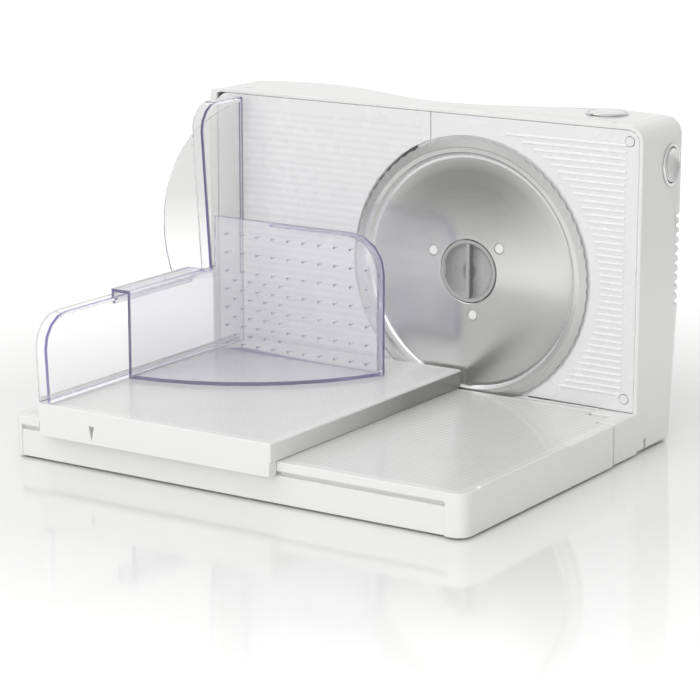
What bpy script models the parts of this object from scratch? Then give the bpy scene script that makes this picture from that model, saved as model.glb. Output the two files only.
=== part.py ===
"""Folding food slicer: a wavy-backed housing with a round blade, a base that folds up, a sliding
carriage with a clear back stop, and a clear food holder. Metres, +Z up. The blade faces -Y."""

import math

import bmesh
import bpy
from mathutils import Matrix, Vector

MM = 0.001

# General fits and cutting
GAP = 0.3 * MM
OVERRUN = 5 * MM
ROUND_SIDES = 32
SMALL_SIDES = 16
SHARP_ANGLE = math.radians(35)

# Blade and its places: the blade's axis is x = 0, the front panels' face is y = 0, the table is z = 0
BLADE_AXIS_HEIGHT = 103.5 * MM
BLADE_RADIUS = 85 * MM
BLADE_THICKNESS = 1.2 * MM
BLADE_PROUD = 1.8 * MM
BLADE_BEVEL_WIDTH = 7 * MM
BLADE_BEVEL_DROP = 0.9 * MM
BLADE_STEP_WIDTH = 4 * MM
BLADE_CENTRE_RADIUS = 40 * MM
BLADE_DISH = 4 * MM
BLADE_BORE_RADIUS = 7 * MM
BLADE_STEPS = 48

# Drive pins that show through the blade
PIN_CIRCLE_RADIUS = 28 * MM
PIN_RADIUS = 3.2 * MM
PIN_PROUD = 2.4 * MM
PIN_COUNT = 3
PIN_FIRST_ANGLE = math.radians(37)

# Lock knob in the blade's middle
KNOB_RADIUS = 20 * MM
KNOB_THICKNESS = 4.9 * MM
KNOB_DOME = 0.8 * MM
KNOB_SHANK_RADIUS = 6.5 * MM
KNOB_SHANK_LENGTH = 6.3 * MM
KNOB_RIM_WIDTH = 2 * MM
KNOB_SCOOP_DEPTH = 3.4 * MM
KNOB_SCOOP_SLOPE = 2.5 * MM
FIN_WIDTH = 2.2 * MM
FIN_LENGTH = 37 * MM
FIN_PROUD = 0.8 * MM
FIN_EDGE = 0.5 * MM

# Drive gear, worm and motor behind the blade
FLANGE_RADIUS = 36 * MM
FLANGE_THICKNESS = 3.8 * MM
FLANGE_RECESS_RADIUS = 7.2 * MM
FLANGE_RECESS_DEPTH = 6 * MM
HUB_RADIUS = 12 * MM
GEAR_RADIUS = 24 * MM
GEAR_WIDTH = 9 * MM
GEAR_BACK = 31 * MM
TOOTH_COUNT = 24
TOOTH_DEPTH = 1.5 * MM
AXLE_RADIUS = 4 * MM
AXLE_END = 38 * MM
AXLE_BOSS_RADIUS = 8 * MM
WORM_RADIUS = 5.5 * MM
WORM_CORE_RADIUS = 4.2 * MM
WORM_LENGTH = 23 * MM
WORM_THREAD_PITCH = 4.6 * MM
SHAFT_RADIUS = 3 * MM
SHAFT_BOTTOM = 8 * MM
SHAFT_END_PROUD = 2 * MM
MOTOR_RADIUS = 16 * MM
MOTOR_BOTTOM = 22 * MM
MOTOR_NOSE_RADIUS = 8 * MM
MOTOR_NOSE_LENGTH = 3 * MM
WORM_CLEARANCE = 15 * MM
CRADLE_RADIUS = 14 * MM
CRADLE_WALL = 1.6 * MM
FAN_RADIUS = 11.8 * MM
FAN_CROSS_VANES = 3
FAN_HUB_RADIUS = 5.5 * MM
FAN_HEIGHT = 6 * MM
FAN_BLADE_THICKNESS = 1.2 * MM
FAN_BOTTOM = 9.5 * MM
BEARING_RADIUS = 6 * MM
BEARING_HEIGHT = 5 * MM
BEARING_RISE = 13.5 * MM
BEARING_ARM_WIDTH = 16 * MM
BEARING_ARM_WALL = 1 * MM

# Housing shell
HOUSING_REACH_LEFT = 202 * MM
HOUSING_REACH_RIGHT = 120 * MM
HOUSING_BOTTOM = 1.2 * MM
HOUSING_TOP = 205 * MM
HOUSING_WALL = 2.7 * MM
HOUSING_DEPTH = 51 * MM
WAVE_HEIGHT = 15 * MM
WAVE_CREST = 80 * MM
WAVE_DIAL_OFFSET = 3 * MM
CORNER_RADIUS = 13 * MM
TOP_ROUND = 10 * MM
BOTTOM_ROUND = 2 * MM
TAPER_HEIGHT = 84 * MM
TAPER_SHARE = 0.136
WAVE_STEPS = 20
CORNER_STEPS = 4
ROUND_STEPS = 3
SILL_HEIGHT = 26 * MM

# Slice chute behind the blade's left edge
CHUTE_CLEARANCE = 40 * MM
CHUTE_RIGHT = 46 * MM
CHUTE_BOTTOM = 12 * MM
CHUTE_TOP = 150 * MM
CHUTE_CORNER = 24 * MM
BAFFLE_PLACE = 41 * MM
BAFFLE_THICKNESS = 2 * MM
BAFFLE_FRONT = 8 * MM
BAFFLE_TOP = 178 * MM

# Front panels
PANEL_THICKNESS = 3 * MM
PANEL_EDGE_GAP = 0.5 * MM
LEFT_RIM_WIDTH = 6.6 * MM
SEAM_PLACE = 29.5 * MM
RECESS_RADIUS = 87 * MM
RECESS_WALL = 2 * MM
RECESS_DEPTH = 5.2 * MM
RECESS_FLOOR = 2 * MM
FLOOR_EDGE_CLEARANCE = 0.5 * MM
FLANGE_HOLE_CLEARANCE = 2 * MM
RIB_COUNT = 39
RIB_TOP_DROP = 8.7 * MM
RIB_PITCH = 4.076 * MM
RIB_WIDTH = 1.7 * MM
RIB_PROUD = 0.8 * MM
RIB_CIRCLE_RADIUS = 93 * MM
RIB_RIGHT_INSET = 11 * MM
CAP_SIDE_INSET = 6 * MM
CAP_TOP_INSET = 6.4 * MM
CAP_BOTTOM_INSET = 8 * MM
CAP_RADIUS = 3 * MM
CAP_THICKNESS = 1 * MM
CAP_PROUD = 0.3 * MM
SCREW_HEAD_THICKNESS = 1 * MM
SCREW_RADIUS = 1.5 * MM
SCREW_LENGTH = 12 * MM
SCREW_BOSS_RADIUS = 5 * MM

# Gauge plate, its carrier, guide rods and dial
GAUGE_TRAVEL = 15 * MM
CARRIER_THICKNESS = 3 * MM
CARRIER_WIDTH = 40 * MM
CARRIER_BOTTOM = 48 * MM
CARRIER_TOP = 172 * MM
DIAL_INSET = 54 * MM
DIAL_HEIGHT = 110 * MM
ROD_SPREAD = 50 * MM
ROD_RADIUS = 3 * MM
ROD_END = 60 * MM
SLEEVE_WALL = 2.7 * MM
SLEEVE_REACH = 27 * MM
ROD_BOSS_RADIUS = 6 * MM
SPINDLE_RADIUS = 5 * MM
SPINDLE_COLLAR_RADIUS = 9 * MM
SPINDLE_COLLAR_LENGTH = 2 * MM
DIAL_RADIUS = 24 * MM
DIAL_LENGTH = 13 * MM
DIAL_GRIP_WIDTH = 9 * MM
DIAL_GRIP_LENGTH = 42 * MM
DIAL_GRIP_HEIGHT = 5 * MM

# Power button on the top and safety button on the right side
POWER_INSET = 44 * MM
POWER_DEPTH_PLACE = 37 * MM
POWER_HALF_SIZES = (11.5 * MM, 11.5 * MM)
POWER_PROUD = 2.4 * MM
POWER_THICKNESS = 4.5 * MM
POWER_STEM_RADIUS = 3 * MM
POWER_STEM_LENGTH = 14 * MM
POWER_TRAVEL = 2.5 * MM
SAFETY_DEPTH_PLACE = 38 * MM
SAFETY_DROP = 28 * MM
SAFETY_HALF_SIZES = (9 * MM, 10.8 * MM)
SAFETY_PROUD = 1.4 * MM
SAFETY_THICKNESS = 8 * MM
SAFETY_HOLLOW_RADIUS = 34 * MM
SAFETY_HOLLOW_DEPTH = 1.6 * MM
SAFETY_TRAVEL = 3.5 * MM
RING_WIDTH = 1.8 * MM
RING_HEIGHT = 1.2 * MM
SWITCH_SIZE = (18 * MM, 18 * MM, 14 * MM)
SWITCH_SHELF_HEIGHT = 8 * MM
SPRING_RADIUS = 4.6 * MM
SPRING_WIRE_RADIUS = 0.5 * MM
SPRING_TURNS = 4
SPRING_TURN_POINTS = 8

# Vents, side notch and cord gland
VENT_COUNT = 10
VENT_HEIGHT = 3 * MM
VENT_PITCH = 6 * MM
VENT_BOTTOM = 87 * MM
VENT_REACH = 14 * MM
NOTCH_PLACE = 13 * MM
NOTCH_WIDTH = 3 * MM
NOTCH_HEIGHT = 9 * MM
INLET_PLACE = 62 * MM
INLET_HEIGHT = 22 * MM
INLET_RADIUS = 7 * MM
INLET_SOCKET_RADIUS = 3.5 * MM
INLET_SOCKET_DEPTH = 2 * MM
INLET_LENGTH = 8 * MM

# Base, its hinge and its feet
FOOT_SIZE = 14 * MM
FOOT_INSET = 5 * MM
EAR_FOOT_INSET = 2 * MM
BASE_BOTTOM = 1.4 * MM
BASE_THICKNESS = 25.8 * MM
BASE_PROUD = 1 * MM
BASE_FRONT = 207.7 * MM
BASE_REAR = 4.5 * MM
BASE_CORNER_RADIUS = 8 * MM
BASE_SKIN = 2.8 * MM
BASE_SIDE_WALL = 3 * MM
BASE_FRONT_WALL = 8 * MM
BASE_CORNER_BLOCK = 18 * MM
BASE_REAR_BOTTOM = 13 * MM
LIP_HEIGHT = 5.8 * MM
LIP_OVERHANG = 1.5 * MM
LEFT_POST_WIDTH = 6.5 * MM
RIGHT_POST_WIDTH = 13 * MM
RAIL_HEIGHT = 3 * MM
RAIL_DEPTH = 2.8 * MM
RIM_WIDTH = 3 * MM
RIM_HEIGHT = 1 * MM
RIM_FRONT = 190 * MM
RIM_REAR = 88 * MM
HINGE_PLACE = 18 * MM
HINGE_DROP = 6.5 * MM
HINGE_PIN_RADIUS = 2.5 * MM
EAR_WIDTH = 12 * MM
EAR_FRONT = 28 * MM
EAR_GAP = 2.6 * MM
EAR_BLOCK_WIDTH = 26 * MM
EAR_BLOCK_FRONT = 11 * MM
PIN_BITE = 9 * MM

# Carriage and its runner
CARRIAGE_LEFT = 175.5 * MM
CARRIAGE_RIGHT = 3.9 * MM
CARRIAGE_FRONT = 215.2 * MM
CARRIAGE_REAR = 2.3 * MM
CARRIAGE_THICKNESS = 11.9 * MM
CARRIAGE_SKIN = 2.5 * MM
CARRIAGE_WALL = 3 * MM
CARRIAGE_EDGE = 0.8 * MM
SKIRT_THICKNESS = 7 * MM
SKIRT_HEIGHT = 20.1 * MM
MARK_PLACE = 134.5 * MM
MARK_WIDTH = 4 * MM
MARK_HEIGHT = 9 * MM
MARK_TOP_DROP = 9 * MM
MARK_DEPTH = 0.4 * MM
RUNNER_LENGTH = 110 * MM
RUNNER_CENTRE = 95 * MM

# Clear back stop and thumb guard
STOP_INSIDE = 166 * MM
STOP_THICKNESS = 2.5 * MM
STOP_FLANGE_REACH = 9.5 * MM
STOP_FLANGE_THICKNESS = 2.2 * MM
STOP_FRONT = 214 * MM
STOP_LEAN = 2 * MM
STOP_LOW_TOP = 93.7 * MM
STOP_LOW_CORNER = 20 * MM
STOP_STEP_PLACE = 47 * MM
STOP_STEP_LEAN = 8 * MM
STOP_HIGH_TOP = 202.5 * MM
STOP_HIGH_CORNER = 17 * MM
STOP_REAR = 11.5 * MM
STOP_FOOT_HEIGHT = 2.8 * MM
GUARD_RADIUS = 92 * MM
GUARD_CENTRE = 139 * MM
GUARD_CENTRE_HEIGHT = 112 * MM
GUARD_THICKNESS = 2.2 * MM
GUARD_TIP_HEIGHT = 73.5 * MM
GUARD_ROOT_HEIGHT = 85 * MM
GUARD_STEPS = 14

# Clear food holder
HOLDER_PLATE_FACE = 46 * MM
HOLDER_THICKNESS = 2.5 * MM
HOLDER_RIGHT = 35.5 * MM
HOLDER_TOP = 129 * MM
HOLDER_CORNER = 24 * MM
HOLDER_FRONT = 138 * MM
HOLDER_SIDE_GAP = 0.6 * MM
HOLDER_SIDE_THICKNESS = 2.3 * MM
HOLDER_FLOOR_GAP = 0.4 * MM
HOLDER_FLOOR_THICKNESS = 2.4 * MM
HOLDER_FLOOR_RADIUS = 150 * MM
HOOK_THICKNESS = 2.2 * MM
HOOK_DROP = 7 * MM
HOOK_REAR = 58 * MM
SPIKE_LENGTH = 5 * MM
SPIKE_RADIUS = 1.2 * MM
SPIKE_TIP_RADIUS = 0.3 * MM
SPIKE_SIDES = 5
SPIKE_COLUMNS = 10
SPIKE_ROWS = 7
SPIKE_COLUMN_PITCH = 12 * MM
SPIKE_ROW_PITCH = 12.1 * MM
SPIKE_LEFT = 157.5 * MM
SPIKE_BOTTOM = 45 * MM
SPIKE_CORNER_MARGIN = 9 * MM
EXTRA_COLUMNS = 4
EXTRA_ROWS = 4

# Places worked out from the sizes above
BASE_TOP = BASE_BOTTOM + BASE_THICKNESS
BASE_REACH_RIGHT = HOUSING_REACH_RIGHT + BASE_PROUD
HINGE_HEIGHT = BASE_TOP - HINGE_DROP
GAUGE_LEFT = -HOUSING_REACH_LEFT + LEFT_RIM_WIDTH + PANEL_EDGE_GAP
PANEL_RIGHT = HOUSING_REACH_RIGHT - HOUSING_WALL - GAP
PANEL_TOP = HOUSING_TOP - HOUSING_WALL - PANEL_EDGE_GAP
SILL_TOP = HOUSING_BOTTOM + SILL_HEIGHT
PANEL_BOTTOM = SILL_TOP + GAP
RIB_TOP_HEIGHT = PANEL_TOP - RIB_TOP_DROP
RIB_RIGHT_END = PANEL_RIGHT - RIB_RIGHT_INSET
CAP_PLACE = PANEL_RIGHT - CAP_SIDE_INSET
CAP_HEIGHTS = (PANEL_BOTTOM + CAP_BOTTOM_INSET, PANEL_TOP - CAP_TOP_INSET)
CARRIER_BACK = PANEL_THICKNESS + GAP + CARRIER_THICKNESS
ROD_START = CARRIER_BACK + GAUGE_TRAVEL + GAP
DIAL_PLACE = HOUSING_REACH_LEFT - DIAL_INSET
WAVE_LENGTH = WAVE_CREST + DIAL_PLACE - WAVE_DIAL_OFFSET
CHUTE_LEFT = DIAL_PLACE - CHUTE_CLEARANCE
POWER_PLACE = (HOUSING_REACH_RIGHT - POWER_INSET, POWER_DEPTH_PLACE)
SAFETY_HEIGHT = HOUSING_TOP - SAFETY_DROP
CARRIAGE_BOTTOM = BASE_TOP + GAP
CARRIAGE_TOP = CARRIAGE_BOTTOM + CARRIAGE_THICKNESS
BLADE_CENTRE_FRONT = -BLADE_PROUD + BLADE_DISH
BLADE_CENTRE_BACK = BLADE_CENTRE_FRONT + BLADE_THICKNESS
FLANGE_FRONT = BLADE_CENTRE_BACK + GAP
WORM_PLACE = GEAR_RADIUS + WORM_RADIUS + GAP
WORM_DEPTH = GEAR_BACK - GEAR_WIDTH / 2
WORM_BOTTOM = BLADE_AXIS_HEIGHT - WORM_LENGTH / 2
MOTOR_TOP = WORM_BOTTOM - WORM_CLEARANCE - MOTOR_NOSE_LENGTH
BEARING_BOTTOM = BLADE_AXIS_HEIGHT + BEARING_RISE
SHAFT_TOP = BEARING_BOTTOM + BEARING_HEIGHT + SHAFT_END_PROUD
CRADLE_BOTTOM = HOUSING_BOTTOM + HOUSING_WALL + GAP
STOP_BOTTOM = CARRIAGE_TOP + GAP
STOP_FLANGE_EDGE = STOP_INSIDE + STOP_FLANGE_REACH
HOLDER_LEFT = STOP_INSIDE - HOLDER_SIDE_GAP
HOLDER_BOTTOM = CARRIAGE_TOP + HOLDER_FLOOR_GAP
HOLDER_PLATE_BACK = HOLDER_PLATE_FACE - HOLDER_THICKNESS
RAIL_TOP = BASE_TOP - LIP_HEIGHT

# The part's origin is the middle of the box it stands in, on the table
BOX_LEFT = -(GUARD_CENTRE + GUARD_RADIUS)
BOX_RIGHT = HOUSING_REACH_RIGHT + GAP + RING_HEIGHT
BOX_FRONT = -STOP_FRONT - STOP_LEAN


def back_depth(x):
    """How far the housing's back stands behind the front panels at x."""
    turn = math.tau * (x - WAVE_CREST) / WAVE_LENGTH
    return HOUSING_DEPTH + WAVE_HEIGHT * math.cos(turn)


DIAL_BACK = back_depth(-DIAL_PLACE) + GAP + DIAL_LENGTH + DIAL_GRIP_HEIGHT
ORIGIN = Vector(((BOX_LEFT + BOX_RIGHT) / 2, (BOX_FRONT + DIAL_BACK) / 2, 0))

# Colour, roughness, metallic and how clear each material is
MATERIALS = {
    "white_plastic": ((0.80, 0.80, 0.79), 0.25, 0.0, 1.0),
    "panel_plastic": ((0.76, 0.76, 0.78), 0.35, 0.0, 1.0),
    "grey_plastic": ((0.42, 0.43, 0.42), 0.35, 0.0, 1.0),
    "gear_plastic": ((0.86, 0.86, 0.84), 0.40, 0.0, 1.0),
    "clear_plastic": ((0.80, 0.80, 0.88), 0.10, 0.0, 0.35),
    "black_plastic": ((0.03, 0.03, 0.03), 0.45, 0.0, 1.0),
    "blade_steel": ((0.60, 0.60, 0.59), 0.30, 1.0, 1.0),
    "plain_steel": ((0.50, 0.50, 0.50), 0.35, 1.0, 1.0),
    "chrome": ((0.80, 0.80, 0.80), 0.08, 1.0, 1.0),
    "brass": ((0.70, 0.52, 0.25), 0.35, 1.0, 1.0),
    "rubber": ((0.06, 0.06, 0.06), 0.80, 0.0, 1.0),
}


def clear_scene():
    """Removes what a new file holds."""
    for item in list(bpy.data.objects):
        bpy.data.objects.remove(item, do_unlink=True)


def make_material(node, kind):
    """One material for one sub-part."""
    colour, roughness, metallic, alpha = MATERIALS[kind]
    material = bpy.data.materials.new(node + "_" + kind)
    material.use_nodes = True
    shader = material.node_tree.nodes["Principled BSDF"]
    shader.inputs["Base Color"].default_value = (*colour, 1)
    shader.inputs["Roughness"].default_value = roughness
    shader.inputs["Metallic"].default_value = metallic
    shader.inputs["Alpha"].default_value = alpha
    return material


def new_object(name, mesh, collection):
    """Links a mesh as an object."""
    item = bpy.data.objects.new(name, mesh)
    collection.objects.link(item)
    return item


def mesh_from(shape, name):
    """Turns a bmesh into a mesh and frees it."""
    mesh = bpy.data.meshes.new(name)
    bmesh.ops.recalc_face_normals(shape, faces=shape.faces)
    shape.to_mesh(mesh)
    shape.free()
    return mesh


def box(name, low, high):
    """A box between two corners, its origin at its middle."""
    low, high = Vector(low), Vector(high)
    shape = bmesh.new()
    bmesh.ops.create_cube(shape, size=1)
    bmesh.ops.scale(shape, vec=high - low, verts=shape.verts)
    item = new_object(name, mesh_from(shape, name), PARTS)
    item.location = (low + high) / 2
    return item


AXIS_TURNS = {
    "x": Matrix.Rotation(math.radians(90), 4, "Y"),
    "y": Matrix.Rotation(math.radians(-90), 4, "X"),
    "z": Matrix.Identity(4),
}


def cylinder(name, radius, start, length, axis="z", sides=ROUND_SIDES, end_radius=None):
    """A cylinder, or a cone, that runs from start along an axis."""
    end_radius = radius if end_radius is None else end_radius
    shape = bmesh.new()
    bmesh.ops.create_cone(
        shape, cap_ends=True, segments=sides, radius1=radius, radius2=end_radius, depth=length)
    bmesh.ops.translate(shape, vec=(0, 0, length / 2), verts=shape.verts)
    mesh = mesh_from(shape, name)
    mesh.transform(AXIS_TURNS[axis])
    item = new_object(name, mesh, PARTS)
    item.location = start
    return item


def turned(name, profile, place, axis="y", steps=ROUND_SIDES, closed=False):
    """A turned piece: the profile holds (radius, along) pairs, down its outer side."""
    mesh = bpy.data.meshes.new(name)
    points = [(radius, 0, along) for radius, along in profile]
    edges = [(index, index + 1) for index in range(len(points) - 1)]
    if closed:
        edges.append((len(points) - 1, 0))
    mesh.from_pydata(points, edges, [])
    item = new_object(name, mesh, PARTS)
    screw = item.modifiers.new("turn", "SCREW")
    screw.axis = "Z"
    screw.steps = steps
    screw.render_steps = steps
    screw.use_merge_vertices = True
    screw.merge_threshold = GAP / ROUND_SIDES
    item.matrix_world = Matrix.Translation(Vector(place)) @ AXIS_TURNS[axis]
    return baked(item)


def baked(item):
    """Replaces an object by the mesh it evaluates to, keeping its place."""
    bpy.context.view_layer.update()
    name = item.name
    evaluated = item.evaluated_get(bpy.context.evaluated_depsgraph_get())
    mesh = bpy.data.meshes.new_from_object(evaluated)
    place = item.matrix_world.copy()
    bpy.data.objects.remove(item, do_unlink=True)
    shape = bmesh.new()
    shape.from_mesh(mesh)
    bmesh.ops.remove_doubles(shape, verts=shape.verts, dist=GAP / ROUND_SIDES)
    bmesh.ops.recalc_face_normals(shape, faces=shape.faces)
    shape.to_mesh(mesh)
    shape.free()
    mesh.name = name
    mesh.transform(place.to_3x3().to_4x4())
    made = new_object(name, mesh, PARTS)
    made.location = place.translation
    return made


OUTLINE_TURNS = {
    "x": Matrix(((0, 0, 1, 0), (1, 0, 0, 0), (0, 1, 0, 0), (0, 0, 0, 1))),
    "y": Matrix(((1, 0, 0, 0), (0, 0, -1, 0), (0, 1, 0, 0), (0, 0, 0, 1))),
    "z": Matrix.Identity(4),
}


def slab(name, outline, start, end, axis="z"):
    """A flat outline given thickness from start to end along an axis. The outline's two
    coordinates are (y, z) for axis x, (x, z) for axis y and (x, y) for axis z."""
    curve = bpy.data.curves.new(name, "CURVE")
    curve.dimensions = "2D"
    curve.fill_mode = "BOTH"
    curve.extrude = abs(end - start) / 2
    spline = curve.splines.new("POLY")
    spline.points.add(len(outline) - 1)
    for point, (across, up) in zip(spline.points, outline):
        point.co = (across, up, 0, 1)
    spline.use_cyclic_u = True
    item = new_object(name, curve, PARTS)
    middle = Vector((0, 0, 0))
    middle["xyz".index(axis)] = (start + end) / 2
    item.matrix_world = Matrix.Translation(middle) @ OUTLINE_TURNS[axis]
    return baked(item)


def joined(name, items):
    """Joins separate bodies that don't touch into one object, for cutting."""
    shape = bmesh.new()
    for item in items:
        piece = item.data.copy()
        piece.transform(Matrix.Translation(item.location))
        shape.from_mesh(piece)
        bpy.data.objects.remove(item, do_unlink=True)
    return new_object(name, mesh_from(shape, name), PARTS)


def combine(target, operand, operation):
    """A Boolean whose second object becomes a wire guide in the cutters' collection."""
    modifier = target.modifiers.new(operand.name, "BOOLEAN")
    modifier.operation = operation
    modifier.solver = "EXACT"
    modifier.object = operand
    operand.hide_render = True
    operand.display_type = "WIRE"
    PARTS.objects.unlink(operand)
    CUTTERS.objects.link(operand)
    return target


def cut(target, operand):
    """Cuts the second object out of the first."""
    return combine(target, operand, "DIFFERENCE")


def add(target, operand):
    """Adds the second object to the first."""
    return combine(target, operand, "UNION")


def finish(item, kind, parent):
    """Gives a piece its material and shading, and hangs it and its guides on its body's empty."""
    item.data.materials.clear()
    item.data.materials.append(make_material(item.name, kind))
    item.data.shade_smooth()
    item.data.set_sharp_from_angle(angle=SHARP_ANGLE)
    guides = [modifier.object for modifier in item.modifiers if modifier.type == "BOOLEAN"]
    for member in [item] + guides:
        member.parent = parent
        member.location = member.location - BODY_PLACES[parent.name]
    return item


def make_body(name, place, parent=None):
    """An empty on a joint's axis, which carries the pieces of one moving body."""
    empty = bpy.data.objects.new(name, None)
    PARTS.objects.link(empty)
    empty.empty_display_size = KNOB_RADIUS
    BODY_PLACES[name] = Vector(place)
    empty.parent = parent
    empty.location = Vector(place) - (BODY_PLACES[parent.name] if parent else ORIGIN)
    return empty


def arc(centre, radius, first, last, steps):
    """Points on an arc, in degrees."""
    points = []
    for step in range(steps + 1):
        angle = math.radians(first + (last - first) * step / steps)
        points.append((centre[0] + radius * math.cos(angle), centre[1] + radius * math.sin(angle)))
    return points


def oval(centre, half_sizes, steps=ROUND_SIDES):
    """Points on an oval."""
    points = []
    for step in range(steps):
        angle = math.tau * step / steps
        points.append((centre[0] + half_sizes[0] * math.cos(angle),
                       centre[1] + half_sizes[1] * math.sin(angle)))
    return points


def housing_ring(inset, height, front):
    """The housing's plan outline at one height, drawn in by inset, as points on a ring."""
    left_centre = -HOUSING_REACH_LEFT + CORNER_RADIUS
    right_centre = HOUSING_REACH_RIGHT - CORNER_RADIUS
    radius = CORNER_RADIUS - inset
    left_middle = (left_centre, back_depth(left_centre) - CORNER_RADIUS)
    right_middle = (right_centre, back_depth(right_centre) - CORNER_RADIUS)
    flat = [(-HOUSING_REACH_LEFT + inset, front)]
    flat += arc(left_middle, radius, 180, 90, CORNER_STEPS)
    for step in range(1, WAVE_STEPS):
        x = left_centre + (right_centre - left_centre) * step / WAVE_STEPS
        flat.append((x, back_depth(x) - inset))
    flat += arc(right_middle, radius, 90, 0, CORNER_STEPS)
    flat.append((HOUSING_REACH_RIGHT - inset, front))
    rise = min(1, (height - HOUSING_BOTTOM) / TAPER_HEIGHT)
    draw = 1 - TAPER_SHARE * (1 - rise)
    return [(x, y * draw if y > 0 else y, height) for x, y in flat]


def housing_levels(wall):
    """Heights and insets of the housing's rings, for the outside or for the hollow."""
    round_radius = TOP_ROUND - wall
    levels = [(HOUSING_BOTTOM + wall, wall + BOTTOM_ROUND)]
    levels.append((HOUSING_BOTTOM + wall + BOTTOM_ROUND, wall))
    levels.append((HOUSING_BOTTOM + TAPER_HEIGHT, wall))
    for step in range(ROUND_STEPS + 1):
        angle = math.radians(90) * step / ROUND_STEPS
        height = HOUSING_TOP - TOP_ROUND + round_radius * math.sin(angle)
        levels.append((height, wall + round_radius * (1 - math.cos(angle))))
    return levels


def housing_loft(name, wall, front):
    """A closed body lofted through the housing's rings."""
    shape = bmesh.new()
    rings = []
    for height, inset in housing_levels(wall):
        ring = housing_ring(inset, height, front)
        rings.append([shape.verts.new(point) for point in ring])
    for lower, upper in zip(rings, rings[1:]):
        for index in range(len(lower)):
            after = (index + 1) % len(lower)
            shape.faces.new((lower[index], lower[after], upper[after], upper[index]))
    shape.faces.new(rings[0])
    shape.faces.new(rings[-1])
    return new_object(name, mesh_from(shape, name), PARTS)


def ear(name, side):
    """One hinge ear at the housing's foot; side is 1 on the right and -1 on the left."""
    outer = HOUSING_REACH_RIGHT if side > 0 else -HOUSING_REACH_LEFT
    finger_inner = outer - side * EAR_WIDTH
    block_inner = outer - side * EAR_BLOCK_WIDTH
    outline = [
        (outer, HOUSING_WALL / 2),
        (outer, -EAR_FRONT),
        (finger_inner, -EAR_FRONT),
        (finger_inner, -EAR_BLOCK_FRONT),
        (block_inner, -EAR_BLOCK_FRONT),
        (block_inner, HOUSING_WALL / 2),
    ]
    body = slab(name, outline, HOUSING_BOTTOM, SILL_TOP)
    return body, finger_inner


def make_housing(body):
    """The wavy-backed shell with its sill, ears, bosses, chute, vents and holes."""
    shell = housing_loft("housing", 0, 0)
    cut(shell, housing_loft("housing_hollow", HOUSING_WALL, -OVERRUN))
    inner_left = -HOUSING_REACH_LEFT + HOUSING_WALL / 2
    inner_right = HOUSING_REACH_RIGHT - HOUSING_WALL / 2
    add(shell, box("sill", (inner_left, 0, HOUSING_BOTTOM), (inner_right, HOUSING_WALL, SILL_TOP)))
    rim_right = -HOUSING_REACH_LEFT + LEFT_RIM_WIDTH
    rim_top = HOUSING_TOP - HOUSING_WALL / 2
    rim = box("left_rim", (inner_left, 0, SILL_TOP - GAP), (rim_right, PANEL_THICKNESS, rim_top))
    add(shell, rim)
    for side, word in ((1, "right"), (-1, "left")):
        block, finger_inner = ear("ear_" + word, side)
        add(shell, block)
        start = finger_inner - OVERRUN if side > 0 else finger_inner - PIN_BITE
        hole = cylinder("ear_hole_" + word, HINGE_PIN_RADIUS + GAP,
                        (start, -HINGE_PLACE, HINGE_HEIGHT), OVERRUN + PIN_BITE, "x", SMALL_SIDES)
        cut(shell, hole)
    add_fittings(shell)
    cut_seats(shell)
    cut_chute(shell)
    cut_vents(shell)
    cut_button_holes(shell)
    return finish(shell, "white_plastic", body)


def post(radius, place, start):
    """A round post from start, through the back wall."""
    end = HOUSING_DEPTH + WAVE_HEIGHT
    return cylinder("post", radius, (place[0], start, place[1]), end - start, "y", SMALL_SIDES)


def add_fittings(shell):
    """The axle's, rods' and screws' posts, the switch shelves, the worm bearing's arm and the
    chute's side wall, all trimmed to end inside the shell's wall."""
    end = HOUSING_DEPTH + WAVE_HEIGHT
    rod_start = ROD_START + SLEEVE_REACH
    items = [post(AXLE_BOSS_RADIUS, (0, BLADE_AXIS_HEIGHT), GEAR_BACK + GAP * 3)]
    items += [post(ROD_BOSS_RADIUS, (-DIAL_PLACE, height), rod_start) for word, height in rod_heights()]
    items += [post(SCREW_BOSS_RADIUS, (CAP_PLACE, height), PANEL_THICKNESS + GAP) for height in CAP_HEIGHTS]
    low, high = power_switch_corners()
    top = low[2] - GAP
    items.append(box("shelf", (low[0], low[1], top - SWITCH_SHELF_HEIGHT), (high[0], end, top)))
    low, high = safety_switch_corners()
    items.append(box("shelf", (low[0], high[1] + GAP, low[2]), (high[0], end, high[2])))
    half = BEARING_ARM_WIDTH / 2
    low = (WORM_PLACE - half, WORM_DEPTH - half, BEARING_BOTTOM - BEARING_ARM_WALL)
    high = (WORM_PLACE + half, end, BEARING_BOTTOM + BEARING_HEIGHT + BEARING_ARM_WALL)
    items.append(box("arm", low, high))
    half = BAFFLE_THICKNESS / 2
    items.append(box("baffle", (-BAFFLE_PLACE - half, BAFFLE_FRONT, 0),
                     (-BAFFLE_PLACE + half, end, BAFFLE_TOP)))
    fittings = joined("fittings", items)
    combine(fittings, housing_loft("fittings_trim", HOUSING_WALL / 2, 0), "INTERSECT")
    add(shell, baked_piece(fittings))


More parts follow.
